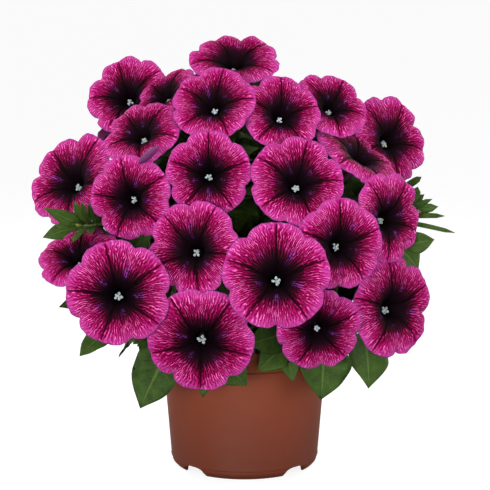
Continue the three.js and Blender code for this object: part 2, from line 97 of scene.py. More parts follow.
def grid(rows: Array, columns: Array) -> Array:
    """The map of a grid of points, from the values of its rows and columns."""
    return np.stack(np.meshgrid(rows, columns, indexing="ij"), -1)


def through(rows: Sequence[Sequence[float]], x: Array) -> Array:
    """A smooth curve through the rows of a table.

    Args:
        rows: pairs of a rising place and a height.
        x: the places to read.

    Returns:
        The height at each place.
    """
    px, py = (np.array(column, float) for column in zip(*rows))
    slope = np.gradient(py, px)
    i = np.clip(np.searchsorted(px, x) - 1, 0, len(px) - 2)
    step = px[i + 1] - px[i]
    t = (x - px[i]) / step
    rest = py[i] * (1 + 2 * t) * (1 - t) ** 2 + py[i + 1] * t * t * (3 - 2 * t)
    return rest + step * t * (1 - t) * (slope[i] * (1 - t) - slope[i + 1] * t)


def srgb(code: str) -> tuple[float, ...]:
    """The linear colour of a six-figure hex code."""
    parts = [int(code[i:i + 2], 16) / 255 for i in (0, 2, 4)]
    return tuple(c / 12.92 if c < 0.04045 else ((c + 0.055) / 1.055) ** 2.4 for c in parts)


Value = Union["Wire", float, Sequence[float]]


class Wire:
    """A node's output that can be reckoned with in plain arithmetic."""

    def __init__(self, loom: "Loom", socket: bpy.types.NodeSocket) -> None:
        """Keeps the socket and the loom that it belongs to."""
        self.loom, self.socket = loom, socket

    def __add__(self, other: Value) -> "Wire":
        """self + other."""
        return self.loom.maths("ADD", self, other)

    def __sub__(self, other: Value) -> "Wire":
        """self - other."""
        return self.loom.maths("SUBTRACT", self, other)

    def __rsub__(self, other: Value) -> "Wire":
        """other - self."""
        return self.loom.maths("SUBTRACT", other, self)

    def __mul__(self, other: Value) -> "Wire":
        """self * other."""
        return self.loom.maths("MULTIPLY", self, other)

    def __truediv__(self, other: Value) -> "Wire":
        """self / other."""
        return self.loom.maths("DIVIDE", self, other)

    def __pow__(self, other: Value) -> "Wire":
        """self to the power of other."""
        return self.loom.maths("POWER", self, other)

    def __abs__(self) -> "Wire":
        """The size of self."""
        return self.loom.maths("ABSOLUTE", self)

    __radd__ = __add__
    __rmul__ = __mul__


class Loom:
    """Weaves the nodes of one material or world."""

    def __init__(self, owner: bpy.types.Material | bpy.types.World) -> None:
        """Clears the nodes.

        Args:
            owner: the material or world.
        """
        owner.use_nodes = True
        self.tree = owner.node_tree
        self.tree.nodes.clear()

    def node(self, kind: str, settings: dict[str, Any] | None = None,
             inputs: dict[str | int, Value] | None = None) -> bpy.types.Node:
        """Adds a node.

        Args:
            kind: the node's type.
            settings: its own settings, or "stops" for a colour ramp's.
            inputs: a value or a link for each named or numbered input.

        Returns:
            The node.
        """
        made = self.tree.nodes.new(kind)
        for key, value in (settings or {}).items():
            if key == "stops":
                stops = made.color_ramp.elements
                while len(stops) < len(value):
                    stops.new(1.0)
                for stop, (place, code) in zip(stops, value):
                    stop.position, stop.color = place, (*srgb(code), 1)
            else:
                setattr(made, key, value)
        for key, value in (inputs or {}).items():
            socket = made.inputs[key]
            if isinstance(value, Wire):
                self.tree.links.new(value.socket, socket)
            elif socket.type == "RGBA":
                socket.default_value = (*value, 1)
            else:
                socket.default_value = value
        return made

    def wire(self, kind: str, settings: dict[str, Any] | None = None,
             inputs: dict[str | int, Value] | None = None, output: str | int = 0) -> Wire:
        """An output, by name or number, of a node that is added as above."""
        return Wire(self, self.node(kind, settings, inputs).outputs[output])

    def maths(self, operation: str, *values: Value) -> Wire:
        """A Math node on values."""
        return self.wire("ShaderNodeMath", {"operation": operation}, dict(enumerate(values)))

    def fade(self, value: Wire, low: Value, high: Value) -> Wire:
        """A smooth rise of a value from 0 at low to 1 at high."""
        return self.wire("ShaderNodeMapRange", {"interpolation_type": "SMOOTHSTEP"},
                         {"Value": value, "From Min": low, "From Max": high})

    def nearest(self, value: Wire) -> Wire:
        """How far a value is from the nearest whole number, below 0 when it is under it."""
        return value - self.maths("ROUND", value)

    def mix(self, factor: Value, a: Value, b: Value) -> Wire:
        """A colour between a and b."""
        return self.wire("ShaderNodeMix", {"data_type": "RGBA"}, {0: factor, 6: a, 7: b}, 2)

    def ramp(self, value: Wire, *stops: tuple[float, str]) -> Wire:
        """A colour read from stops of a place and a hex code."""
        return self.wire("ShaderNodeValToRGB", {"stops": stops}, {0: value})

    def vector(self, x: Value, y: Value, z: Value) -> Wire:
        """A vector from three values."""
        return self.wire("ShaderNodeCombineXYZ", {}, {0: x, 1: y, 2: z})

    def split(self, vector: Wire) -> list[Wire]:
        """The three values of a vector."""
        made = self.node("ShaderNodeSeparateXYZ", {}, {0: vector})
        return [Wire(self, output) for output in made.outputs]

    def uv(self, layer: str) -> list[Wire]:
        """The two values of a map of the mesh."""
        return self.split(self.wire("ShaderNodeUVMap", {"uv_map": layer}))[:2]

    def polar(self, x: Wire, y: Wire) -> tuple[Wire, Wire]:
        """The distance of a place from the middle of its map, and the angle round it."""
        return self.maths("SQRT", x * x + y * y), self.maths("ARCTAN2", y, x)

    def circle(self, angle: Wire, radius: float, height: Wire) -> Wire:
        """The place on a tube at an angle and a height."""
        return self.vector(self.maths("COSINE", angle) * radius, self.maths("SINE", angle) * radius, height)

    def place(self) -> Wire:
        """The place on the object, in metres."""
        return self.wire("ShaderNodeTexCoord", output="Object")

    def noise(self, place: Wire, scale: float, detail: float = 2.0) -> Wire:
        """Soft noise about 0.5."""
        return self.wire("ShaderNodeTexNoise", {}, {"Vector": place, "Scale": scale, "Detail": detail})

    def cells(self, place: Wire, scale: float) -> Wire:
        """The distance from the walls of a net of cells."""
        return self.wire("ShaderNodeTexVoronoi", {"feature": "DISTANCE_TO_EDGE"},
                         {"Vector": place, "Scale": scale})

    def done(self, colour: Value, roughness: Value, relief: Wire | None = None,
             depth: float = 0.0003, **constants: Value) -> None:
        """Joins the surface up.

        Args:
            colour: the base colour.
            roughness: how rough it is.
            relief: a height between 0 and 1 that stands out of the surface.
            depth: how far that height stands out, in metres.
            constants: the shader's other values, by the names of its sockets.
        """
        inputs: dict[str | int, Value] = {"Base Color": colour, "Roughness": roughness}
        inputs.update({key.replace("_", " "): value for key, value in constants.items()})
        if relief is not None:
            inputs["Normal"] = self.wire("ShaderNodeBump", {},
                                         {"Strength": 1.0, "Distance": depth, "Height": relief})
        self.node("ShaderNodeOutputMaterial", {}, {0: self.wire("ShaderNodeBsdfPrincipled", {}, inputs)})


@dataclass(frozen=True)
class PetalFace:
    """The face of a petal: crimson veins that branch outwards over pink, dark towards the throat."""

    ribs: int = 5
    lines: int = 52
    wander: float = 1.1
    spread: float = 0.1
    net: float = 26.0
    plain: Stops = ((0.12, "0a0307"), (0.33, "180411"), (0.46, "3a0217"), (0.6, "760238"),
                    (0.76, "a00c5e"), (0.9, "b83488"), (0.98, "b43a8c"))
    dark: Stops = ((0.12, "020102"), (0.34, "090205"), (0.48, "1a010a"), (0.62, "440017"),
                   (0.77, "6e0132"), (0.9, "8e0a56"), (0.98, "8f2064"))
    bright: Stops = ((0.12, "0a0307"), (0.33, "3c082a"), (0.47, "8c0e56"), (0.6, "ca388a"),
                     (0.76, "f070ba"), (0.9, "ec7abe"), (0.98, "d062ac"))

    def weave(self, loom: Loom) -> None:
        """Weaves the finish.

        Args:
            loom: the material's own.
        """
        x, y = loom.uv("sheet")
        variety, _ = loom.uv("facts")
        share, angle = loom.polar(x, y)
        off = loom.nearest(angle * (self.ribs / math.tau))
        aside = abs(off) * 2
        patches = loom.noise(loom.vector(x, y, variety * 9), 5.0, 3.0)
        fleck = loom.noise(loom.vector(x, y, variety * 9 + 4), 24.0)
        sway = loom.noise(loom.vector(x, y, variety * 9 + 2), 9.0)
        bent = angle - loom.maths("SINE", off * math.tau) * share * self.spread + (patches - 0.5) * 0.1
        begun = loom.fade(share + (fleck - 0.5) * 0.4, 0.5, 0.6)
        run = bent * (self.lines / math.tau) + (sway - 0.5) * self.wander
        apart = self.off_vein(loom, run, begun)
        veins = (1 - loom.fade(apart, 0.3, 0.56)) * (1 - loom.fade(share, 0.84, 1.0) * 0.45)
        dashes = loom.noise(loom.circle(angle, self.net, share * 8 + variety * 60), 1.0)
        light = loom.fade(apart, 0.54, 0.82) * loom.fade(dashes + aside * 0.08, 0.53, 0.66)
        light = light * loom.fade(share, 0.3, 0.6)
        depth = share - (1 - aside) ** 7 * 0.12 + aside * 0.03 + (patches - 0.5) * 0.12 + (fleck - 0.5) * 0.08
        plain, dark, bright = (loom.ramp(depth, *stops) for stops in (self.plain, self.dark, self.bright))
        cover = loom.mix(light, loom.mix(veins, plain, dark), bright)
        width = 0.056 - share * 0.034
        rib = (1 - loom.fade(aside * share, width * 0.6, width * 1.2)) * (1 - loom.fade(share, 0.94, 1.0))
        cover = loom.mix(rib, cover, loom.ramp(share, (0.4, "0a0104"), (0.65, "2a000e"), (0.92, "4c011f")))
        # Painted highlights: pale violet glints and a faint blue-violet sheen on the raised folds between the
        # lobes near the throat, where light would catch the fold ridges.
        fold = loom.fade(aside, 0.7, 1.0) * loom.fade(share, 0.24, 0.36) * (1 - loom.fade(share, 0.45, 0.75))
        painted_glint_flecks = loom.fade(fleck, 0.45, 0.6) * (1 - veins) * loom.fade(patches, 0.4, 0.65)
        cover = loom.mix(fold * painted_glint_flecks * 0.6, cover, srgb("a850b8"))
        cover = loom.mix(fold * loom.fade(patches, 0.45, 0.7) * 0.12, cover, srgb("4a1690"))
        cover = loom.mix(loom.fade(share, 0.972, 0.998) * 0.55, cover, srgb("8f3f94"))
        relief = 0.6 - veins * 0.3 - rib * 0.5 + patches * 0.4
        loom.done(cover, 0.78 - veins * 0.1, relief, 0.0005, Specular_IOR_Level=0.04)

    def off_vein(self, loom: Loom, run: Wire, begun: Wire) -> Wire:
        """The distance from the veins, which run outwards and branch half way.

        Args:
            loom: the material.
            run: a count that rises by one from vein to vein.
            begun: 1 where the branches between the veins have begun.

        Returns:
            0 on a vein and 1 midway between two.
        """
        main = abs(loom.maths("FRACT", run) - 0.5)
        branch = abs(loom.maths("FRACT", run + 0.5) - 0.5) + (1 - begun) * 0.5
        return loom.maths("MINIMUM", main, branch) * (begun * 2 + 2)


@dataclass(frozen=True)
class PetalBack:
    """The back of a petal and the outside of its tube: paler, with the veins showing through."""

    net: float = 16.0
    ribs: int = 5

    def weave(self, loom: Loom) -> None:
        """Weaves the finish.

        Args:
            loom: the material's own.
        """
        share, angle = loom.polar(*loom.uv("sheet"))
        variety, _ = loom.uv("facts")
        walls = loom.cells(loom.circle(angle, self.net, share * 6 + variety * 60), 1.0)
        veins = 1 - loom.fade(walls, 0.03, 0.3)
        aside = abs(loom.nearest(angle * (self.ribs / math.tau))) * 2
        rib = 1 - loom.fade(aside * share, 0.01, 0.06)
        pale = loom.ramp(share, (0.06, "7a5e5c"), (0.2, "86305f"), (0.45, "ac3a86"), (0.95, "c66cab"))
        dark = loom.ramp(share, (0.06, "5a444c"), (0.25, "561640"), (0.5, "861a62"), (0.95, "a8478c"))
        cover = loom.mix(veins * 0.7, pale, dark)
        cover = loom.mix(rib * 0.7, cover, srgb("6a2048"))
        loom.done(cover, 0.6, veins * 0.5 + rib, 0.0004, Specular_IOR_Level=0.2)


@dataclass(frozen=True)
class Powder:
    """Small soft parts between two colours with a fine grain."""

    low: str
    high: str
    grain: float = 900.0

    def weave(self, loom: Loom) -> None:
        """Weaves the finish.

        Args:
            loom: the material's own.
        """
        grain = loom.noise(loom.place(), self.grain)
        loom.done(loom.mix(grain, srgb(self.low), srgb(self.high)), 0.7, grain, 0.0002)


@dataclass(frozen=True)
class LeafBlade:
    """A soft downy leaf with a pale midrib and side veins."""

    pairs: float = 7.0

    def weave(self, loom: Loom) -> None:
        """Weaves the finish.

        Args:
            loom: the material's own.
        """
        along, across = loom.uv("sheet")
        variety, _ = loom.uv("facts")
        aside = abs(across)
        mottle = loom.noise(loom.place(), 160.0, 4.0)
        down = loom.noise(loom.place(), 1800.0, 2.0)
        row = along * self.pairs - aside * 1.5 + mottle * 0.35
        gap = abs(loom.nearest(row))
        side = (1 - loom.fade(gap, 0.02, 0.16)) * (1 - loom.fade(aside, 0.55, 0.98))
        midrib = 1 - loom.fade(aside, 0.03, 0.11 * (1.25 - along))
        cover = loom.ramp(mottle, (0.3, "1d3108"), (0.5, "28400c"), (0.7, "364f16"))
        cover = loom.mix(loom.fade(variety, 0.1, 0.9) * 0.4, cover, srgb("455f20"))
        cover = loom.mix(side * 0.07, cover, srgb("5f7a34"))
        cover = loom.mix(loom.fade(down, 0.4, 0.7) * 0.3, cover, srgb("56703c"))
        cover = loom.mix(midrib * 0.26, cover, srgb("7c9450"))
        cover = loom.mix(loom.fade(aside, 0.9, 1.0) * 0.25, cover, srgb("58723a"))
        relief = 0.6 - side * 0.25 - midrib * 0.4 + mottle * 0.4 + down * 0.2
        loom.done(cover, 0.55 + down * 0.25, relief, 0.0006, Specular_IOR_Level=0.16)


@dataclass(frozen=True)
class Stalk:
    """Green stems and stalks, streaked along their length and downy."""

    def weave(self, loom: Loom) -> None:
        """Weaves the finish.

        Args:
            loom: the material's own.
        """
        along, around = loom.uv("sheet")
        streak = loom.noise(loom.vector(along * 3, around * 9, 0.0), 2.0, 3.0)
        down = loom.noise(loom.place(), 1500.0)
        cover = loom.ramp(streak, (0.3, "34481e"), (0.5, "48602a"), (0.7, "60763a"))
        loom.done(cover, 0.55 + down * 0.2, streak * 0.5 + down * 0.4, 0.0004, Sheen_Weight=0.25)


@dataclass(frozen=True)
class BudSkin:
    """A closed bud: yellow-green below, flushed pink where the furled petals show."""

    def weave(self, loom: Loom) -> None:
        """Weaves the finish.

        Args:
            loom: the material's own.
        """
        along, around = loom.uv("sheet")
        furl = loom.maths("SINE", around * 5 * math.tau + along * 6) * 0.5 + 0.5
        cover = loom.ramp(along, (0.2, "6f8a3c"), (0.6, "a9ac55"), (0.9, "a05578"))
        cover = loom.mix(furl * 0.35, cover, srgb("5d6a2c"))
        loom.done(cover, 0.55, furl, 0.0005)


@dataclass(frozen=True)
class PotPlastic:
    """Brown-red moulded plastic with a satin skin, with painted shade towards the foot and in the groove
    under the collar.
    """

    # The height in metres of the painted shade line in the groove under the collar.
    collar: float = 0.0794

    def weave(self, loom: Loom) -> None:
        """Weaves the finish.

        Args:
            loom: the material's own.
        """
        spot = loom.place()
        cloud = loom.noise(spot, 14.0, 3.0)
        speck = loom.noise(spot, 700.0, 2.0)
        _, _, height = loom.split(spot)
        cover = loom.ramp(cloud, (0.3, "753926"), (0.7, "80402d"))
        # Painted shade: the pot darkens towards its foot, standing in for light that falls off lower down.
        cover = loom.mix(1 - loom.fade(height, -0.01, 0.09), cover, srgb("5c2a1b"))
        cover = loom.mix(loom.fade(speck, 0.62, 0.75) * 0.1, cover, srgb("a0604a"))
        # Painted shade: a dark line in the groove under the collar, standing in for its shadow.
        line = 1 - loom.fade(abs(height - self.collar), 0.0005, 0.001)
        cover = loom.mix(line * 0.6, cover, srgb("47190e"))
        loom.done(cover, 0.42 + cloud * 0.12 + speck * 0.06, speck * 0.3 + cloud * 0.4, 0.0002,
                  Specular_IOR_Level=0.1, Sheen_Weight=0.1, Sheen_Roughness=0.35)


@dataclass(frozen=True)
class Peat:
    """Dark crumbly compost with pale specks."""

    def weave(self, loom: Loom) -> None:
        """Weaves the finish.

        Args:
            loom: the material's own.
        """
        spot = loom.place()
        crumb = loom.noise(spot, 260.0, 6.0)
        speck = loom.noise(spot, 420.0, 1.0)
        cover = loom.ramp(crumb, (0.3, "130b07"), (0.5, "2c1d14"), (0.7, "4a3526"))
        cover = loom.mix(loom.fade(speck, 0.72, 0.76), cover, srgb("b9ad97"))
        loom.done(cover, 0.95, crumb, 0.002)


class Slot(Enum):
    """The finishes, by the names of their material slots."""

    FACE = PetalFace()
    BACK = PetalBack()
    ANTHER = Powder("7f8b9a", "bcc6d0")
    STIGMA = Powder("8f9a45", "c9cf86")
    THREAD = Powder("14060f", "38202c")
    FURLED = Powder("38082f", "7c2a72", 600.0)
    LEAF = LeafBlade()
    STALK = Stalk()
    BUD = BudSkin()
    POT = PotPlastic()
    PEAT = Peat()


class Patchwork:
    """Gathers patches of faces, with their maps and finishes, into one object."""

    def __init__(self) -> None:
        """Starts with nothing."""
        self.points: list[Array] = []
        self.quads: list[Array] = []
        self.sheet: list[Array] = []
        self.facts: list[Array] = []
        self.slots: list[Array] = []
        self.used: list[Slot] = []
        self.count = 0

    def patch(self, points: Array, sheet: Array, slot: Slot, variety: float = 0.0,
              wrap: bool = False, flip: bool = False) -> None:
        """Adds a grid of quads.

        Args:
            points: rows by columns by three, in millimetres.
            sheet: rows by columns by two, the map that the finish reads.
            slot: the finish.
            variety: a number that tells like pieces apart.
            wrap: whether the last column joins the first.
            flip: whether the faces look the other way.
        """
        rows, columns = points.shape[:2]
        number = np.arange(rows * columns).reshape(rows, columns) + self.count
        over = np.roll(number, -1, axis=1)
        if not wrap:
            number, over = number[:, :-1], over[:, :-1]
        quads = np.stack([number[:-1], over[:-1], over[1:], number[1:]], -1).reshape(-1, 4)
        if slot not in self.used:
            self.used.append(slot)
        self.points.append(points.reshape(-1, 3))
        self.sheet.append(sheet.reshape(-1, 2))
        self.facts.append(np.tile([variety, 0.0], (rows * columns, 1)))
        self.quads.append(quads[:, ::-1] if flip else quads)
        self.slots.append(np.full(len(quads), self.used.index(slot)))
        self.count += rows * columns

    def piece(self, name: str, crease: float = 180.0) -> bpy.types.Object:
        """Makes the object.

        Args:
            name: its name.
            crease: the angle in degrees past which an edge stays sharp.

        Returns:
            The object, linked to the scene.
        """
        points = np.concatenate(self.points) * MM
        quads = np.concatenate(self.quads)
        mesh = bpy.data.meshes.new(name)
        mesh.vertices.add(len(points))
        mesh.vertices.foreach_set("co", points.astype(np.float32).ravel())
        mesh.loops.add(quads.size)
        mesh.loops.foreach_set("vertex_index", quads.astype(np.int32).ravel())
        mesh.polygons.add(len(quads))
        mesh.polygons.foreach_set("loop_start", np.arange(0, quads.size, 4, dtype=np.int32))
        mesh.polygons.foreach_set("material_index", np.concatenate(self.slots).astype(np.int32))
        mesh.update(calc_edges=True)
        for layer, values in (("sheet", self.sheet), ("facts", self.facts)):
            uv = mesh.uv_layers.new(name=layer)
            uv.data.foreach_set("uv", np.concatenate(values)[quads.ravel()].astype(np.float32).ravel())
        weld(mesh, crease)
        for slot in self.used:
            mesh.materials.append(finish_of(slot))
        made = bpy.data.objects.new(name, mesh)
        bpy.context.scene.collection.objects.link(made)
        return made


def weld(mesh: bpy.types.Mesh, crease: float) -> None:
    """Joins points that meet, drops faces that close up, and shades smooth up to a crease.

    Args:
        mesh: the mesh to change.
        crease: the angle in degrees past which an edge stays sharp.
    """
    work = bmesh.new()
    work.from_mesh(mesh)
    bmesh.ops.remove_doubles(work, verts=work.verts, dist=WELD)
    for face in work.faces:
        face.smooth = True
    for edge in work.edges:
        if len(edge.link_faces) == 2:
            edge.smooth = edge.calc_face_angle(0.0) < math.radians(crease)
    work.to_mesh(mesh)
    work.free()


def finish_of(slot: Slot) -> bpy.types.Material:
    """The material of a finish, made the first time that it is asked for.

    Args:
        slot: the finish.

    Returns:
        The material.
    """
    name = "finish_" + slot.name.lower()
    if name not in bpy.data.materials:
        slot.value.weave(Loom(bpy.data.materials.new(name)))
    return bpy.data.materials[name]


@dataclass(frozen=True)
class Bend:
    """A curve from one point to another that leaves and arrives along two handles."""

    start: Array
    leave: Array
    arrive: Array
    end: Array

    def at(self, t: Array | float) -> Array:
        """The point or points at shares of the way.

        Args:
            t: the share or shares.

        Returns:
            One point, or a row for each share.
        """
        t = np.asarray(t, float)[..., None]
        s = 1 - t
        near = s ** 3 * self.start + 3 * s * s * t * self.leave
        return near + 3 * s * t * t * self.arrive + t ** 3 * self.end


def tube(work: Patchwork, line: Array, radii: Array, slot: Slot, sides: int = 8) -> None:
    """Sweeps a round tube along a line of points and closes its ends.

    Args:
        work: where it goes.
        line: the points of its middle line.
        radii: its radius at each point.
        slot: its finish.
        sides: how many sides it has.
    """
    ahead = np.gradient(line, axis=0)
    ahead /= np.linalg.norm(ahead, axis=1)[:, None]
    side = unit(np.cross([0.3, 1, 0.2], ahead[0]))
    around = ring_angles(sides)
    rings = []
    for point, way, radius in zip(line, ahead, radii):
        side = unit(side - way * (side @ way))
        over = np.cross(way, side)
        rings.append(point + radius * (np.cos(around)[:, None] * side + np.sin(around)[:, None] * over))
    rings = [np.tile(line[0], (sides, 1)), *rings, np.tile(line[-1], (sides, 1))]
    sheet = grid(np.linspace(0, 1, len(rings)), around / math.tau)
    work.patch(np.array(rings), sheet, slot, wrap=True)


def ball(work: Patchwork, middle: Array, axes: Array, slot: Slot, sides: int = 8) -> None:
    """Adds a small egg.

    Args:
        work: where it goes.
        middle: its middle.
        axes: its three half axes, as rows.
        slot: its finish.
        sides: how many sides it has round its third axis.
    """
    around, down = ring_angles(sides), np.linspace(0, math.pi, 6)
    shape = np.stack([np.sin(down)[:, None] * np.cos(around), np.sin(down)[:, None] * np.sin(around),
                      np.cos(down)[:, None] * np.ones(sides)], -1)
    work.patch(middle + shape @ axes, grid(down, around), slot, wrap=True, flip=True)


FUNNEL_FOOT = -0.92
FUNNEL = ((0.06, FUNNEL_FOOT), (0.075, -0.75), (0.105, -0.5), (0.16, -0.3), (0.24, -0.15),
          (0.36, -0.055), (0.55, -0.01), (0.78, 0.01), (1.0, -0.02))
LOBES = 5


@dataclass
class Bloom:
    """A five-lobed funnel flower. Its shape is worked out in shares of half its width."""

    number: int
    stem: int
    middle: Array
    bearing: float
    climb: float
    half: float
    turn: float
    curl: float
    columns: int = 132
    face_rows: int = 30
    back_rows: int = 12
    notch: float = 0.12
    dimple: float = 0.015
    thickness: float = 0.9

    @classmethod
    def planted(cls, number: int, stem: int, x: float, y: float, z: float,
                bearing: float, climb: float, half: float, turn: float, curl: float) -> "Bloom":
        """The flower of a row of the table of flowers."""
        return cls(number, stem, np.array([x, y, z], float), bearing, climb, half, math.radians(turn), curl)

    @property
    def name(self) -> str:
        """The name of its node in the frame."""
        return f"bloom_{self.number:02d}"

    @property
    def axes(self) -> Array:
        """Its own x, y and z.

        Returns:
            The three axes, as rows.
        """
        z = heading(self.bearing, self.climb)
        x = unit(np.cross(UP, z))
        return np.array([x, np.cross(z, x), z])

    @property
    def low(self) -> Array:
        """The way to its lower side, as x and y of its own space."""
        down = self.axes @ -UP
        return down[:2] / max(0.3, float(np.hypot(*down[:2])))

    def world(self, points: Array) -> Array:
        """Points of its own space in the plant's."""
        return points @ self.axes + self.middle

    def sheet(self, shares: Array, side: int) -> Array:
        """The sheet of petals.

        Args:
            shares: shares of the way out, one for each row.
            side: 1 for the face and -1 for the back.

        Returns:
            Rows by columns by three, in its own space.
        """
        a = self.turn + ring_angles(self.columns)[None, :]
        s = shares[:, None]
        from_rib = (a - self.turn) / (math.pi / LOBES)
        from_rib = from_rib - 2 * np.round(from_rib / 2)
        radius = s * (1 + (self.edge(a, np.abs(from_rib)) - 1) * s * s)
        rise = (through(FUNNEL, s + 0.005) - through(FUNNEL, s - 0.005)) / 0.01
        rise = np.where(s > 0.99, 0, rise)
        lean = np.where(s < 1, side * self.thickness / 2 / np.hypot(1, rise), 0)
        lean = lean * (1 - 0.5 * fade(s, 0.85, 1))
        r = radius * self.half - rise * lean
        sag = 0.05 * self.half * fade(s, 0.06, 0.16) * (1 - fade(s, 0.25, 0.75)) * self.low
        return np.stack([r * np.cos(a) + sag[..., :1], r * np.sin(a) + sag[..., 1:],
                         self.height(s, a, from_rib) * self.half + lean], -1)

    def edge(self, a: Array, t: Array) -> Array:
        """How far out the edge is: notched between the lobes, and a little ragged.

        Args:
            a: the angle.
            t: 0 on a rib and 1 in a notch.

        Returns:
            The radius.
        """
        n = self.number
        edge = 1 - self.notch * t ** 5 - self.dimple * (1 - t) ** 6
        ragged = 0.004 * np.sin(23 * a + 6 * draw(n, 3)) + 0.004 * np.sin(37 * a + 6 * draw(n, 4))
        return edge + ragged

    def height(self, s: Array, a: Array, from_rib: Array) -> Array:
        """The funnel with its lobes, waves, ribs and the pleats between the lobes.

        Args:
            s: the share of the way out.
            a: the angle.
            from_rib: the way from the nearest rib, -1 or 1 in a notch.

        Returns:
            The height.
        """
        n, t = self.number, np.abs(from_rib)
        outer = np.maximum(0, (s - 0.5) / 0.5)
        bulge = 0.035 * np.sin(math.pi * t) ** 2 - 0.03 * t ** 6
        sway = 0.025 * np.sin(3 * a + 6.3 * draw(n, 1)) + 0.014 * np.sin(7 * a + 6.3 * draw(n, 2))
        ruffle = 0.015 * np.sin(11 * a + 6 * draw(n, 5)) + 0.01 * np.sin(19 * a + 6 * draw(n, 6))
        rib = -0.024 * np.exp(-((t / 0.09) ** 2)) * fade(s, 0.25, 0.5) * (1 - 0.5 * fade(s, 0.85, 1))
        pleat = -0.02 * np.exp(-(((1 - t) / 0.07) ** 2)) * fade(s, 0.2, 0.6)
        fold = 0.02 * np.sign(from_rib) * np.exp(-(((1 - t) / 0.2) ** 2)) * np.tanh((1 - t) / 0.03)
        pleat = pleat + fold * fade(s, 0.5, 1)
        return (through(FUNNEL, s) + s * s * bulge + s ** 3 * sway - self.curl * outer ** 2
                + outer ** 2 * ruffle + rib + pleat)

    def chart(self, shares: Array) -> Array:
        """The map of the sheet: the flat flower, with its first rib along x."""
        a = ring_angles(self.columns)[None, :]
        return np.stack([shares[:, None] * np.cos(a), shares[:, None] * np.sin(a)], -1)

    def grow(self) -> bpy.types.Object:
        """Makes the flower.

        Returns:
            The piece.
        """
        work = Patchwork()
        variety = draw(self.number, 9)
        for side, rows, last in ((1, self.face_rows, 0.085), (-1, self.back_rows, 0.06)):
            shares = 1 - (1 - last) * np.linspace(0, 1, rows) ** 1.25
            points = self.sheet(shares, side)
            foot = np.tile(points[-1].mean(axis=0), (1, self.columns, 1))
            points = np.concatenate([points, foot])
            chart = self.chart(np.append(shares, 0.01))
            slot = Slot.FACE if side > 0 else Slot.BACK
            work.patch(self.world(points), chart, slot, variety, wrap=True, flip=side < 0)
        self.add_heart(work)
        return work.piece(self.name + "_flower")

    def add_heart(self, work: Patchwork) -> None:
        """Adds the five anthers on their threads round the stigma.

        Args:
            work: where they go.
        """
        h = self.half
        sag = np.append(self.low * 0.08 * h, 0)
        deep = -UP * 0.66 * h
        for i in range(LOBES):
            a = self.turn + math.tau * (i + 0.7 * draw(self.number, 40 + i)) / LOBES
            out = np.array([math.cos(a), math.sin(a), 0])
            top = out * (0.034 + 0.03 * draw(self.number, 45 + i)) * h
            top = top + sag + UP * h * (-0.3 + 0.05 * draw(self.number, 50 + i))
            line = self.world(np.linspace(out * 0.02 * h + deep, top, 4))
            tube(work, line, np.full(4, 0.008 * h), Slot.THREAD, sides=5)
            shape = np.array([out * 0.037, np.cross(UP, out) * 0.031, UP * 0.028]) * h
            ball(work, self.world(top), shape @ self.axes, Slot.ANTHER)
        head = sag - UP * 0.27 * h
        tube(work, self.world(np.linspace(deep, head, 4)), np.full(4, 0.01 * h), Slot.THREAD, sides=5)
        ball(work, self.world(head), np.diag([0.026, 0.026, 0.022]) * h @ self.axes, Slot.STIGMA)


@dataclass
class Stem:
    """The middle lines of a stem, its flower stalks and its twigs."""

    name: str
    bearing: float
    top: float
    reach: float
    foot: float = 70.35
    ring: float = 26.0

    @property
    def line(self) -> Bend:
        """The line of the stem.

        Returns:
            The curve, from the compost up.
        """
        out, bend = heading(self.bearing, 0), (self.foot + self.top) / 2
        return Bend(out * self.ring + UP * self.foot, out * self.ring + UP * bend,
                    out * self.reach + UP * (bend + 10), out * self.reach + UP * self.top)

    def stalk_line(self, bloom: Bloom) -> Bend:
        """The line of a flower's stalk.

        Args:
            bloom: the flower.

        Returns:
            The curve, out of the stem and into the flower's foot.
        """
        seat = bloom.world(UP * (FUNNEL_FOOT * bloom.half - 1.9))
        share = min(1.0, max(0.22, (seat[2] - 100) / (self.top - 70)))
        start = self.line.at(share)
        arm = 0.4 * np.linalg.norm(seat - start)
        return Bend(start, start + heading(self.bearing, 45) * 0.7 * arm, seat - bloom.axes[2] * arm, seat)

    def twig_line(self, share: float, end: Array, ahead: Array) -> Bend:
        """The line of a leaf stalk or side shoot.

        Args:
            share: how far up the stem it starts.
            end: where it ends.
            ahead: the way in which it ends.

        Returns:
            The curve.
        """
        start = self.line.at(share)
        arm = 0.35 * np.linalg.norm(end - start)
        return Bend(start, start + heading(self.bearing, 30) * arm, end - ahead * arm, end)


class Outline(Enum):
    """The width of a leaf along its length, as a share of its widest."""

    BROAD = ((0.0, 0.0), (0.2, 0.8), (0.47, 1.0), (0.76, 0.66), (1.0, 0.0))
    SMALL = ((0.0, 0.0), (0.3, 0.95), (0.66, 0.8), (1.0, 0.0))
    NARROW = ((0.0, 0.0), (0.45, 1.0), (1.0, 0.0))
    STRAP = ((0.0, 0.5), (0.35, 0.9), (0.7, 1.0), (0.9, 0.72), (1.0, 0.0))


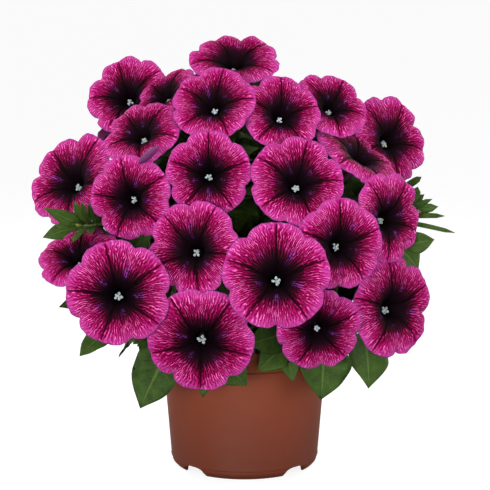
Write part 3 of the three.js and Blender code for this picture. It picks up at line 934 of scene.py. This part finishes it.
@dataclass
class Leaf:
    """A leaf from its base to its tip, its upper side towards up."""

    base: Array
    tip: Array
    width: float
    arch: float
    up: Array
    outline: Outline
    variety: float = 0.5
    thickness: float = 1.0
    quilted: float = 9.0
    meshing: tuple[tuple[float, int, int], ...] = ((20.0, 19, 11), (9.0, 13, 9), (0.0, 9, 5))

    def grow(self, work: Patchwork) -> None:
        """Adds both sides of the blade.

        Args:
            work: where they go.
        """
        along = self.tip - self.base
        length = float(np.linalg.norm(along))
        over = unit(np.cross(along, self.up))
        lift = unit(np.cross(over, along))
        rows, columns = next(size for least, *size in self.meshing if self.width > least)
        u = np.linspace(0, 1, rows)[:, None]
        v = np.linspace(-1, 1, columns)[None, :]
        wide = np.maximum(through(self.outline.value, u), 0)
        wave = 0.05 * np.sin(9 * u + 9 * self.variety) * np.abs(v) ** 2 * np.sign(v + 0.001)
        wave = wave + 0.03 * np.sin(17 * u + 20 * self.variety + 2 * v) * np.abs(v) ** 3
        rise = 4 * self.arch * length * u * (1 - u)
        rise = rise + self.width * wide * (0.08 * np.abs(v) ** 1.6 + wave)
        quilt = 0.012 * self.width * np.cos(math.tau * (7 * u - 1.5 * np.abs(v))) * wide * (1 - v * v)
        quilt = quilt if self.width > self.quilted else 0
        rise = rise - quilt - 0.03 * self.width * np.exp(-((v / 0.12) ** 2)) * wide
        middle = (self.base + along * u[..., None] + over * (v * wide * self.width / 2)[..., None]
                  + lift * rise[..., None])
        sheet = np.stack(np.broadcast_arrays(u, v), -1)
        for side in (1, -1):
            half = side * self.thickness / 2 * (1 - v ** 4) * np.sin(math.pi * np.clip(u, 0, 1)) ** 0.4
            work.patch(middle + lift * half[..., None], sheet, Slot.LEAF, self.variety, flip=side > 0)


# Each flower: its stem, its middle in mm, the bearing and climb it faces in degrees, half its width,
# its turn in degrees, and how far its edge curls back as a share of half its width.
FLOWERS = (
    (2, -7, -19, 296, 1, 62, 32, 43, 0.06), (10, -83, -11, 270, -21, 31, 30, 44, 0.04),
    (1, -21, -70, 271, -10, 40, 29, 10, 0.04), (0, -70, -68, 251, -26, 46, 28, 70, 0.1),
    (0, -55, -36, 274, -45, 46, 25, 20, 0.12), (10, -121, -31, 213, -37, 31, 35, 0, 0.02),
    (0, -77, -90, 209, -17, 4, 29, 34, 0.08), (1, -24, -95, 226, -2, 9, 29, 18, 0.06),
    (2, 25, -68, 264, 14, 32, 28, 10, 0.05), (4, 60, -45, 267, 29, 41, 27, 48, 0.05),
    (5, 104, -3, 238, 38, 21, 32, 51, 0.04), (4, 79, -55, 234, 61, 53, 33, 39, 0.1),
    (2, 35, -99, 222, 7, 28, 32, 0, 0.06), (3, 98, -81, 194, 41, 7, 31, 48, 0.06),
    (3, 64, -110, 181, 20, 7, 31, 16, 0.06), (1, -34, -113, 179, -16, 14, 32, 65, 0.05),
    (2, 21, -131, 164, 0, 18, 36, 18, 0.08), (0, -83, -129, 152, 3, 10, 35, 33, 0.06),
    (10, -114, -69, 166, -20, 56, 29, 30, 0.08), (1, -29, -122, 118, -2, -6, 36, 53, 0.06),
    (3, 51, -92, 118, 12, -13, 30, 25, 0.05), (4, 104, -61, 128, 39, 7, 36, 19, 0.08),
    (5, 94, 12, 131, 102, -8, 32, 30, 0.06), (6, 74, 69, 132, 130, -14, 32, 5, 0.05),
    (7, 19, 109, 129, 168, -6, 31, 50, 0.08), (8, -49, 108, 128, -161, -20, 32, 25, 0.05),
    (9, -91, 52, 133, -122, -8, 32, 65, 0.06), (10, -110, -2, 127, -91, -14, 31, 15, 0.06),
    (5, 108, -11, 180, 78, 6, 29, 60, 0.05), (6, 101, 49, 190, 116, 12, 32, 35, 0.08),
    (7, 56, 106, 186, 152, 8, 31, 10, 0.06), (8, -10, 131, 190, 180, 12, 32, 55, 0.05),
    (9, -75, 102, 185, -148, 8, 31, 40, 0.08), (10, -118, 39, 190, -110, 14, 32, 20, 0.06),
    (6, 74, 47, 247, 118, 41, 31, 0, 0.06), (7, 27, 94, 243, 162, 40, 32, 45, 0.05),
    (8, -37, 94, 244, -159, 44, 31, 30, 0.07), (9, -87, 48, 244, -120, 38, 31, 5, 0.05),
    (5, 49, 10, 268, 100, 61, 25, 50, 0.05), (8, -10, 41, 279, -176, 74, 30, 25, 0.06),
)
# Each stem: its piece, its bearing in degrees, its height in mm and how far out it reaches.
STEMS = (
    ("stem_left", -44, 205, 40), ("stem_front_left", -15, 205, 30), ("stem_front", 12, 215, 20),
    ("stem_front_right", 38, 165, 38), ("stem_right", 62, 210, 32), ("stem_far_right", 90, 205, 40),
    ("stem_back_right", 118, 190, 36), ("stem_back", 152, 190, 34), ("stem_back_middle", -174, 205, 26),
    ("stem_back_left", -135, 190, 36), ("stem_far_left", -88, 205, 42),
)
# Each placed leaf: its stem, the share of the stem where its stalk starts, the base and tip of its
# blade in mm, its width, and its arch as a share of its length.
PLACED_LEAVES = (
    (0, 0.2, (-48, -62, 103), (-72, -80, 60), 36, 0.1),
    (0, 0.24, (-62, -56, 110), (-77, -74, 104), 14, 0.05),
    (0, 0.22, (-58, -58, 105), (-74, -84, 105), 12, 0.05),
    (1, 0.21, (-25, -62, 101), (2, -80, 76), 30, 0.08),
    (1, 0.2, (-23, -64, 98), (-29, -77, 67), 18, 0.1),
    (2, 0.2, (28, -62, 102), (9, -78, 86), 22, 0.1),
    (2, 0.24, (26, -58, 108), (2, -84, 106), 24, 0.1),
    (2, 0.18, (28, -64, 98), (34, -74, 77), 14, 0.1),
    (3, 0.24, (54, -52, 102), (53, -68, 63), 38, 0.1),
    (4, 0.2, (83, -30, 102), (87, -52, 67), 32, 0.1),
    (10, 0.24, (-94, -66, 112), (-113, -84, 98), 16, 0.05),
    (10, 0.3, (-104, -64, 134), (-127, -82, 132), 12, 0.05),
    (4, 0.62, (111, -60, 171), (131, -60, 175), 15, 0.05),
    (4, 0.55, (103, -38, 168), (122, -38, 149), 22, 0.15),
    (10, 0.6, (-114, -36, 180), (-141, -42, 173), 14, 0.05),
    (10, 0.45, (-86, -22, 150), (-64, -26, 176), 22, 0.1),
    (10, 0.5, (-98, -22, 156), (-102, -25, 180), 18, 0.1),
    (4, 0.5, (90, -22, 196), (70, -24, 222), 24, 0.1),
    (4, 0.3, (66, -30, 104), (84, -30, 116), 18, 0.1),
    (8, 0.9, (-2, -21, 262), (16, -24, 282), 18, 0.1),
    (10, 0.2, (-60, -17, 101), (-83, -24, 92), 22, 0.1),
)
# Each side shoot: its stem, its share, its end in mm, and the tip and width of each leaf in its tuft.
SHOOTS = (
    (4, 0.7, (112, -48, 190), (((120, -48, 210), 8), ((113, -56, 208), 8), ((125, -44, 204), 5),
                               ((130, -52, 202), 4), ((135, -42, 195), 7), ((139, -52, 190), 4),
                               ((147, -46, 177), 3.5))),
    (4, 0.85, (106, -38, 204), (((123, -42, 216), 5), ((111, -38, 216), 4))),
    (10, 0.7, (-112, -56, 184), (((-137, -72, 199), 10), ((-116, -68, 203), 6), ((-110, -74, 204), 5),
                                ((-105, -70, 202), 6), ((-131, -66, 185), 6), ((-99, -64, 199), 6))),
)
# The leaves over the rim: stem and bearing. Then the furled flower: stem, share, base and end.
SKIRT = ((4, 74), (5, 96), (6, 124), (7, 148), (7, 168), (8, -170), (8, -148), (9, -124), (10, -98))
FURLED_FLOWER = (10, 0.8, (-72, -87, 231), (-57, -99, 245))
# The ball of flowers and leaves, in mm: its middle, its reach and the lowest tip of a leaf inside it.
BALL_MIDDLE = np.array([-6.0, 0.0, 182.0])
BALL_REACH = np.array([112.0, 112.0, 92.0])
LOWEST_TIP = 106
# The gap in mm between a leaf inside the ball and a flower, and where the flower's space ends.
LEAF_ROOM = 2.2
NEAR_RIM = 1.06
NEAR_FOOT = -0.95
# The widths in mm past which a leaf is broad, and how far forward a leaf turns its face to the front.
BROAD_LEAF = 15
BROAD_TUFT_LEAF = 8
FRONT_LEAVES = -20
# The leaves round a bud, and the share of a turn from each to the next.
TUFT_LEAVES = 12
TUFT_TURN = 0.381
# How near in mm two points count as one.
SAME_PLACE = 0.05


class Crowd:
    """All the flowers, for finding a place among them."""

    def __init__(self, blooms: Sequence[Bloom]) -> None:
        """Keeps each flower's place, axes and size.

        Args:
            blooms: the flowers.
        """
        self.middles = np.array([b.middle for b in blooms])
        self.axes = np.array([b.axes for b in blooms])
        self.halves = np.array([b.half for b in blooms])[:, None]

    def is_clear(self, points: Array) -> bool:
        """Whether a leaf has room.

        Args:
            points: points of the leaf.

        Returns:
            Whether they lie clear of every flower, all of them on one side of it.
        """
        own = np.einsum("nij,nmj->nmi", self.axes, points[None] - self.middles[:, None])
        out = np.hypot(own[..., 0], own[..., 1]) / self.halves
        gap = own[..., 2] - through(FUNNEL, np.clip(out, 0.06, 1.0)) * self.halves
        near = (out < NEAR_RIM) & (own[..., 2] > NEAR_FOOT * self.halves)
        below = np.where(near, gap, -np.inf).max(axis=1) < -LEAF_ROOM
        above = np.where(near, gap, np.inf).min(axis=1) > LEAF_ROOM
        return bool((below | above).all())


class Foliage:
    """Everything green on one stem."""

    def __init__(self, index: int, blooms: Sequence[Bloom], solid: bpy.types.Object) -> None:
        """Finds what belongs to the stem.

        Args:
            index: the stem's number.
            blooms: all the flowers.
            solid: the stem's solid in the frame.
        """
        self.index = index
        self.crowd = Crowd(blooms)
        self.stem = Stem(*STEMS[index])
        self.blooms = [b for b in blooms if b.stem == index]
        self.corners = np.array([v.co for v in solid.data.vertices]) / MM
        self.work = Patchwork()

    def grow(self) -> bpy.types.Object:
        """Makes the whole stem.

        Returns:
            The piece.
        """
        share = np.linspace(0, 1, 24)
        swell = 1 + 0.06 * np.sin(share * 31 + self.index)
        radii = np.interp(share, [0, 0.25, 0.5, 0.75, 1], [2.2, 2.2, 2, 1.7, 1.4]) * swell
        tube(self.work, self.stem.line.at(share), radii, Slot.STALK, sides=12)
        for bloom in self.blooms:
            self.add_stalk(bloom)
            for order in (1, 0):
                self.add_inner_leaf(bloom, order)
            self.fill(self.stem.stalk_line(bloom), bloom.number, count=10, low=0.15, high=0.95, short=30)
        self.fill(self.stem.line, 100 + self.index, count=36, low=0.25, high=1.0, short=40)
        for row in (*PLACED_LEAVES, *map(skirt_row, range(len(SKIRT)))):
            if row[0] == self.index:
                self.add_leaf(*row[1:])
        for row in SHOOTS:
            if row[0] == self.index:
                self.add_shoot(*row[1:])
        if FURLED_FLOWER[0] == self.index:
            self.add_furled(*FURLED_FLOWER[1:])
        return self.work.piece(self.stem.name + "_leaves")

    def add_stalk(self, bloom: Bloom) -> None:
        """Adds a flower's stalk and its five long sepals.

        Args:
            bloom: the flower.
        """
        share = np.linspace(0, 1, 14)
        radii = np.interp(share, [0, 0.85, 1], [1.1, 1.1, 2.4])
        tube(self.work, self.stem.stalk_line(bloom).at(share), radii, Slot.STALK)
        foot = FUNNEL_FOOT * bloom.half - 0.4
        for i in range(LOBES):
            a = bloom.turn + math.tau * (i + 0.5) / LOBES
            out = np.array([math.cos(a), math.sin(a), 0])
            base, tip = out * 2.2 + UP * (foot - 2.5), out * 6.6 + UP * (foot + 12.5)
            Leaf(bloom.world(base), bloom.world(tip), 3.4, -0.04, -out @ bloom.axes, Outline.NARROW,
                 draw(bloom.number, 60 + i), thickness=0.8).grow(self.work)

    def add_twig(self, share: float, end: Array, ahead: Array) -> Bend:
        """Adds a twig out of the stem.

        Args:
            share: how far up the stem it starts.
            end: where it ends.
            ahead: the way in which it ends.

        Returns:
            Its line.
        """
        line = self.stem.twig_line(share, end, ahead)
        tube(self.work, line.at(np.linspace(0, 1, 12)), np.linspace(1.2, 0.9, 12), Slot.STALK)
        return line

    def add_leaf(self, share: float, base: Sequence[float], tip: Sequence[float],
                 width: float, arch: float) -> None:
        """Adds a leaf on its own stalk.

        Args:
            share: how far up the stem the stalk starts.
            base: where the blade starts.
            tip: where it ends.
            width: its width.
            arch: how far it arches, as a share of its length.
        """
        foot, point = np.array(base, float), np.array(tip, float)
        self.add_twig(share, foot, unit(point - foot))
        up = unit(foot * [1, 1, 0]) + UP * 0.6 + FRONT * (1.5 if foot[1] < FRONT_LEAVES else 0)
        outline = Outline.BROAD if width > BROAD_LEAF else Outline.SMALL
        Leaf(foot - unit(point - foot) * 1.5, point, width, arch, up, outline,
             draw(int(width), int(abs(point[0])))).grow(self.work)

    def add_shoot(self, share: float, at: Sequence[float], fan: Sequence[Any]) -> None:
        """Adds a side shoot with a bud at its end in a tuft of leaves.

        Args:
            share: how far up the stem it starts.
            at: where it ends.
            fan: the tip and width of each leaf that shows from the front.
        """
        end = np.array(at, float)
        out = unit(end * [1, 1, 0])
        line = self.add_twig(share, end, out)
        up, elbow = out + UP * 0.3, line.at(0.5)
        face = out * 0.4 + FRONT * 0.8 + UP * 0.35
        along = np.linspace(0, 1, 12)
        radii = 2.3 * np.sin(math.pi * np.clip(along * 0.92 + 0.06, 0, 1)) ** 0.7
        start = end + (elbow - end) * 0.02
        tube(self.work, start + (end + up * 11 - start) * along[:, None], radii, Slot.BUD, sides=12)
        level = unit(np.cross(UP, out))
        for i in range(TUFT_LEAVES):
            turn, seed = math.tau * (i * TUFT_TURN), int(end[2]) + i
            round_out = level * math.cos(turn) + UP * (math.sin(turn) + 0.3)
            ahead = unit(out * (0.9 - 0.05 * i) + round_out * 0.9)
            base = end + (elbow - end) * (0.02 + 0.05 * i)
            Leaf(base, base + ahead * (11 + 8 * draw(seed, 1)), 4 + 2.5 * draw(seed, 2), 0.1, face,
                 Outline.STRAP, draw(seed, 3)).grow(self.work)
        for i, (tip, width) in enumerate(fan):
            base = end + (elbow - end) * (0.02 + 0.08 * i)
            outline = Outline.SMALL if width > BROAD_TUFT_LEAF else Outline.STRAP
            Leaf(base, np.array(tip, float), width, 0.06, face, outline, draw(i, width)).grow(self.work)

    def add_furled(self, share: float, base: Sequence[float], end: Sequence[float]) -> None:
        """Adds a flower that is still furled, on its own stalk.

        Args:
            share: how far up the stem the stalk starts.
            base: where the flower starts.
            end: where it ends.
        """
        foot, tip = np.array(base, float), np.array(end, float)
        self.add_twig(share, foot, unit(tip - foot))
        along = np.linspace(0, 1, 16)
        radii = 2.7 * np.sin(math.pi * np.clip(along * 0.9 + 0.05, 0, 1)) ** 0.8
        tube(self.work, foot + (tip - foot) * along[:, None], radii, Slot.FURLED, sides=16)

    def add_inner_leaf(self, bloom: Bloom, order: int) -> None:
        """Adds a leaf of a flower's stalk, at the first of five turns where a solid has its tip.

        Args:
            bloom: the flower.
            order: 0 for the lower leaf and 1 for the upper one.
        """
        base = self.stem.stalk_line(bloom).at((order + 1) / 3)
        out = unit(base - BALL_MIDDLE)
        level, steep = level_axes(out)
        for attempt in range(5):
            turn = math.tau * (draw(bloom.number, 20 + order) + attempt / 5)
            length = (34 + 8 * draw(bloom.number, 30 + order)) * (1 - 0.06 * attempt)
            ahead = unit(out * 0.9 + level * 0.7 * math.cos(turn) + steep * 0.7 * math.sin(turn))
            tip = base + ahead * length
            if np.abs(self.corners - tip).max(axis=1).min() < SAME_PLACE:
                Leaf(base, tip, 0.48 * length, 0.08, out + UP * 0.4, Outline.SMALL,
                     draw(bloom.number, 70 + order)).grow(self.work)
                return

    def fill(self, line: Bend, seed: int, count: int, low: float, high: float, short: float) -> None:
        """Adds leaves along a line, wherever there is room among the flowers.

        Args:
            line: the stem or stalk.
            seed: a number of its own.
            count: how many leaves to try.
            low: the share of the line where they start.
            high: the share where they end.
            short: the shortest leaf, in millimetres.
        """
        for i in range(count):
            base = line.at(low + (high - low) * (i + 0.6 * draw(seed, 80 + i)) / count)
            out = unit(base - BALL_MIDDLE + UP * 20)
            level, steep = level_axes(out)
            for attempt in range(6):
                turn = math.tau * (draw(seed, 90 + i) + i * 0.38 + attempt / 6)
                length = (short + 14 * draw(seed, 110 + i)) * (1 - 0.07 * attempt)
                ahead = unit(out * 0.6 + level * math.cos(turn) + steep * math.sin(turn))
                tip, over = base + ahead * length, unit(np.cross(ahead, out)) * 0.24 * length
                spine = base + (tip - base) * np.linspace(0.1, 1, 8)[:, None]
                reach = np.concatenate([spine, spine[2:6] + over, spine[2:6] - over])
                inside = np.linalg.norm((tip - BALL_MIDDLE) / BALL_REACH) < 1 and tip[2] > LOWEST_TIP
                if inside and self.crowd.is_clear(reach):
                    Leaf(base, tip, 0.5 * length, 0.08, out + UP * 0.4, Outline.SMALL,
                         draw(seed, 130 + i)).grow(self.work)
                    break


def skirt_row(i: int) -> tuple[Any, ...]:
    """The row of a leaf that leans out over the pot's rim.

    Args:
        i: its number in the skirt.

    Returns:
        The leaf as in the table of placed leaves.
    """
    stem, bearing = SKIRT[i]
    base = heading(bearing, 0) * 62 + UP * 99
    out = heading(bearing + 12 * (draw(i, 5) - 0.5), 0)
    tip = out * (86 + 10 * draw(i, 6)) + UP * (64 + 12 * draw(i, 7))
    return stem, 0.2, base, tip, 26 + 8 * draw(i, 8), 0.1


@dataclass
class Pot:
    """A tapered nursery pot with a collar, arches in its foot and drain holes."""

    sides: int = 192
    arch: tuple[float, float] = (10.5, 5.8)
    arch_reach: tuple[float, float] = (44.0, 58.0)
    drain_radius: float = 4.0
    drain_reach: tuple[float, float] = (3.0, 11.0)
    drain_ring: float = 30.0
    crease: float = 32.0
    section: tuple[tuple[float, float], ...] = (
        (0, 6), (47.4, 6), (47.8, 5.6), (48, 0.4), (48.4, 0), (49.6, 0), (50.1, 0.3), (52.1, 2.4),
        (52.5, 3.2), (52.7, 5.2), (52.5, 5.7), (52.6, 6.1), (53.5, 6.3), (53.6, 6.9), (53.35, 7.6),
        (59.1, 78.8), (58.7, 79.2), (58.7, 79.8), (59.8, 80.0), (60.05, 80.5), (60.25, 90.6),
        (60.5, 91.6), (60.8, 92.3), (60.9, 93.1), (60.75, 93.7), (60.3, 94), (59.6, 94), (59.2, 93.7),
        (58.9, 93), (58.5, 77.9), (57.4, 76.6), (51.6, 8.4), (51.1, 8), (0, 8))

    def build(self) -> bpy.types.Object:
        """Turns the section, then cuts the arches and drain holes.

        Returns:
            The piece.
        """
        rows, around = np.array(self.section, float), ring_angles(self.sides)
        points = np.stack([rows[:, :1] * np.cos(around), rows[:, :1] * np.sin(around),
                           rows[:, 1:] * np.ones(self.sides)], -1)
        work = Patchwork()
        work.patch(points, grid(np.linspace(0, 1, len(rows)), around / math.tau), Slot.POT, wrap=True)
        piece = work.piece("pot_moulded")
        middles = [*(heading(90 * i, 0) * self.drain_ring for i in range(4)), np.zeros(3)]
        cutters = [self.arch_cutter(45 + 90 * i) for i in range(4)]
        cutters += [self.drain_cutter(middle) for middle in middles]
        for cutter in cutters:
            cut = piece.modifiers.new("cut", "BOOLEAN")
            cut.operation, cut.solver, cut.object = "DIFFERENCE", "EXACT", cutter
        whole = piece.evaluated_get(bpy.context.evaluated_depsgraph_get())
        shaped = bpy.data.meshes.new_from_object(whole)
        piece.modifiers.clear()
        piece.data = shaped
        weld(shaped, self.crease)
        for cutter in cutters:
            bpy.data.objects.remove(cutter)
        return piece

    def arch_cutter(self, bearing: float) -> bpy.types.Object:
        """The cutter of an arch in the foot.

        Args:
            bearing: where it is round the pot, in degrees.

        Returns:
            The cutter, with squarish round ends.
        """
        a = ring_angles(40)
        out, along = heading(bearing, 0), heading(bearing + 90, 0)
        wide, tall = (np.sign(v) * np.abs(v) ** 0.7 for v in (np.cos(a), np.sin(a)))
        ring = along * (self.arch[0] * wide)[:, None] + UP * (self.arch[1] * tall)[:, None]
        return self.cutter([out * r + ring for r in self.arch_reach])

    def drain_cutter(self, at: Array) -> bpy.types.Object:
        """The cutter of a drain hole.

        Args:
            at: the point under the hole's middle at height zero.

        Returns:
            The cutter.
        """
        a = ring_angles(24)
        ring = np.stack([self.drain_radius * np.cos(a), self.drain_radius * np.sin(a), 0 * a], -1) + at
        return self.cutter([ring + UP * height for height in self.drain_reach])

    def cutter(self, rings: Sequence[Array]) -> bpy.types.Object:
        """A closed solid between rings.

        Args:
            rings: the points of each ring.

        Returns:
            The solid, its faces outwards.
        """
        ends = [np.tile(r.mean(axis=0), (1, len(r), 1)) for r in (rings[0], rings[-1])]
        points = np.concatenate([ends[0], rings, ends[1]])
        work = Patchwork()
        work.patch(points, np.zeros((*points.shape[:2], 2)), Slot.POT, wrap=True)
        made = work.piece("cutter")
        sides = bmesh.new()
        sides.from_mesh(made.data)
        bmesh.ops.recalc_face_normals(sides, faces=sides.faces)
        sides.to_mesh(made.data)
        sides.free()
        return made


@dataclass
class Soil:
    """The ball of compost, crumbly on top."""

    sides: int = 144
    radius: float = 57.0
    crown: tuple[tuple[float, float], ...] = ((0, 84), (38, 82.6), (57, 80))
    crown_rows: int = 35
    side: tuple[tuple[float, float], ...] = ((57.0, 79), (56.9, 76.2), (51.1, 8.4), (0.0, 8.4))

    def build(self) -> bpy.types.Object:
        """Makes the ball.

        Returns:
            The piece.
        """
        out = np.concatenate([[0.0], np.linspace(6, self.radius - 0.1, self.crown_rows - 1)])
        rows = np.concatenate([np.stack([out, np.interp(out, *zip(*self.crown))], -1), self.side])
        r, a = rows[:, :1], ring_angles(self.sides)[None, :]
        on_top = (np.arange(len(rows)) < self.crown_rows)[:, None]
        bound = fade(r, 0, 9) * (1 - fade(r, self.radius - 4, self.radius))
        height = rows[:, 1:] + np.where(on_top, self.lumps(r, a) * bound, 0)
        points = np.stack([r * np.cos(a), r * np.sin(a), height], -1)
        sheet = np.stack(np.broadcast_arrays(r / self.radius, a / math.tau), -1)
        work = Patchwork()
        work.patch(points, sheet, Slot.PEAT, wrap=True, flip=True)
        return work.piece("soil_crumb", crease=60)

    def lumps(self, r: Array, a: Array) -> Array:
        """The lumps of the compost at a radius and an angle."""
        large = np.sin(r * 0.9 + 5 * np.cos(3 * a)) * np.cos(7 * a + r * 0.4)
        return (large + np.sin(r * 1.7 + 11 * a) * np.cos(r * 0.8 - 17 * a) * 0.6) * 0.7


@dataclass
class Studio:
    """The camera at the photograph's angle, a pale floor and soft light."""

    lens: float = 153.3
    sensor: float = 36.0
    distance: float = 1.5
    elevation: float = 10.5
    target: tuple[float, float, float] = (0.00036, 0.0, 0.160)
    spread: float = 30.0
    above: float = 0.08
    lamps: tuple[tuple[str, tuple[float, float, float], float, float, float], ...] = (
        ("key", (-0.75, -1.6, 0.42), 0.0, 0.9, 1.8),
        ("low_front", (0.15, -1.7, 0.16), 0.14, 0.6, 0.55),
        ("fill", (1.2, -1.1, 0.5), 0.0, 1.0, 0.9),
        ("left_side", (-1.6, 0.3, 0.6), 0.0, 1.0, 1.5),
        ("right_side", (1.6, 0.3, 0.6), 0.0, 1.0, 1.5),
        ("back_left", (-0.8, 1.5, 0.8), 0.0, 1.0, 1.6),
        ("back_right", (0.8, 1.5, 0.8), 0.0, 1.0, 1.6),
        ("top", (0.0, -0.2, 1.9), 0.0, 0.9, 0.9))

    def set_up(self) -> None:
        """Places the camera, the floor and the lights."""
        scene = bpy.context.scene
        scene.view_settings.view_transform = "Standard"
        e = math.radians(self.elevation)
        back = Vector((0.0, -math.cos(e), math.sin(e)))
        data = bpy.data.cameras.new("camera")
        data.lens, data.sensor_width = self.lens, self.sensor
        camera = bpy.data.objects.new("camera", data)
        camera.location = Vector(self.target) + back * self.distance
        camera.rotation_euler = (-back).to_track_quat("-Z", "Y").to_euler()
        scene.collection.objects.link(camera)
        scene.camera = camera
        self.floor()
        for row in self.lamps:
            self.lamp(*row)
        self.sky()

    def sky(self) -> None:
        """Surrounds the plant with white that lights it softly, less from below."""
        world = bpy.data.worlds.new("studio")
        bpy.context.scene.world = world
        loom = Loom(world)
        seen = loom.wire("ShaderNodeLightPath", output="Is Camera Ray")
        height = loom.split(loom.wire("ShaderNodeTexCoord", output="Generated"))[2]
        light = loom.wire("ShaderNodeMapRange", {}, {"Value": height, "From Min": -0.4, "From Max": 0.8,
                                                     "To Min": 0.05, "To Max": 0.42})
        strength = loom.wire("ShaderNodeMix", {}, {0: seen, 2: light, 3: 1.0})
        surface = loom.wire("ShaderNodeBackground", {}, {"Color": WHITE, "Strength": strength})
        loom.node("ShaderNodeOutputWorld", {}, {0: surface})

    def floor(self) -> None:
        """Adds a floor that shines white and takes no shadow into the light on the plant."""
        mesh = bpy.data.meshes.new("floor")
        mesh.from_pydata([(-30, -30, 0), (30, -30, 0), (30, 30, 0), (-30, 30, 0)], [], [(0, 1, 2, 3)])
        paper = bpy.data.materials.new("floor_paper")
        Loom(paper).done((0.3, 0.3, 0.3), 0.9, Emission_Color=WHITE, Emission_Strength=0.85,
                         Specular_IOR_Level=0.0)
        mesh.materials.append(paper)
        floor = bpy.data.objects.new("floor", mesh)
        floor.visible_diffuse = floor.visible_glossy = False
        bpy.context.scene.collection.objects.link(floor)

    def lamp(self, name: str, place: Sequence[float], drop: float, size: float, power: float) -> None:
        """Adds a square soft light that points at the plant.

        Args:
            name: its name.
            place: where it is, in metres.
            drop: how far under the plant's middle it points.
            size: its side.
            power: its power in watts.
        """
        data = bpy.data.lights.new(name, "AREA")
        data.size, data.energy, data.spread = size, power, math.radians(self.spread)
        lamp = bpy.data.objects.new(name, data)
        lamp.location = place
        aim = Vector(self.target) + Vector((0, 0, self.above - drop)) - Vector(place)
        lamp.rotation_euler = aim.to_track_quat("-Z", "Y").to_euler()
        bpy.context.scene.collection.objects.link(lamp)


def seat(piece: bpy.types.Object, node: str, slot: str) -> None:
    """Puts a piece in the place of a node of the frame.

    Args:
        piece: the piece.
        node: the node.
        slot: not used.
    """
    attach(piece, "root")
    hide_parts(node)
    LOG.info("%s: %d faces", piece.name, len(piece.data.polygons))


def main() -> None:
    """Builds the plant, its pot and the studio round the frame."""
    logging.basicConfig(level=logging.INFO, format="%(message)s")
    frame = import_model()
    Studio().set_up()
    seat(Pot().build(), "pot", "pot")
    seat(Soil().build(), "soil", "compost")
    blooms = [Bloom.planted(number, *row) for number, row in enumerate(FLOWERS, 1)]
    for bloom in blooms:
        seat(bloom.grow(), bloom.name, "petals")
    for index, row in enumerate(STEMS):
        seat(Foliage(index, blooms, frame["nodes"][row[0]]).grow(), row[0], "foliage")
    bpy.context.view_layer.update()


if __name__ == "__main__":
    main()
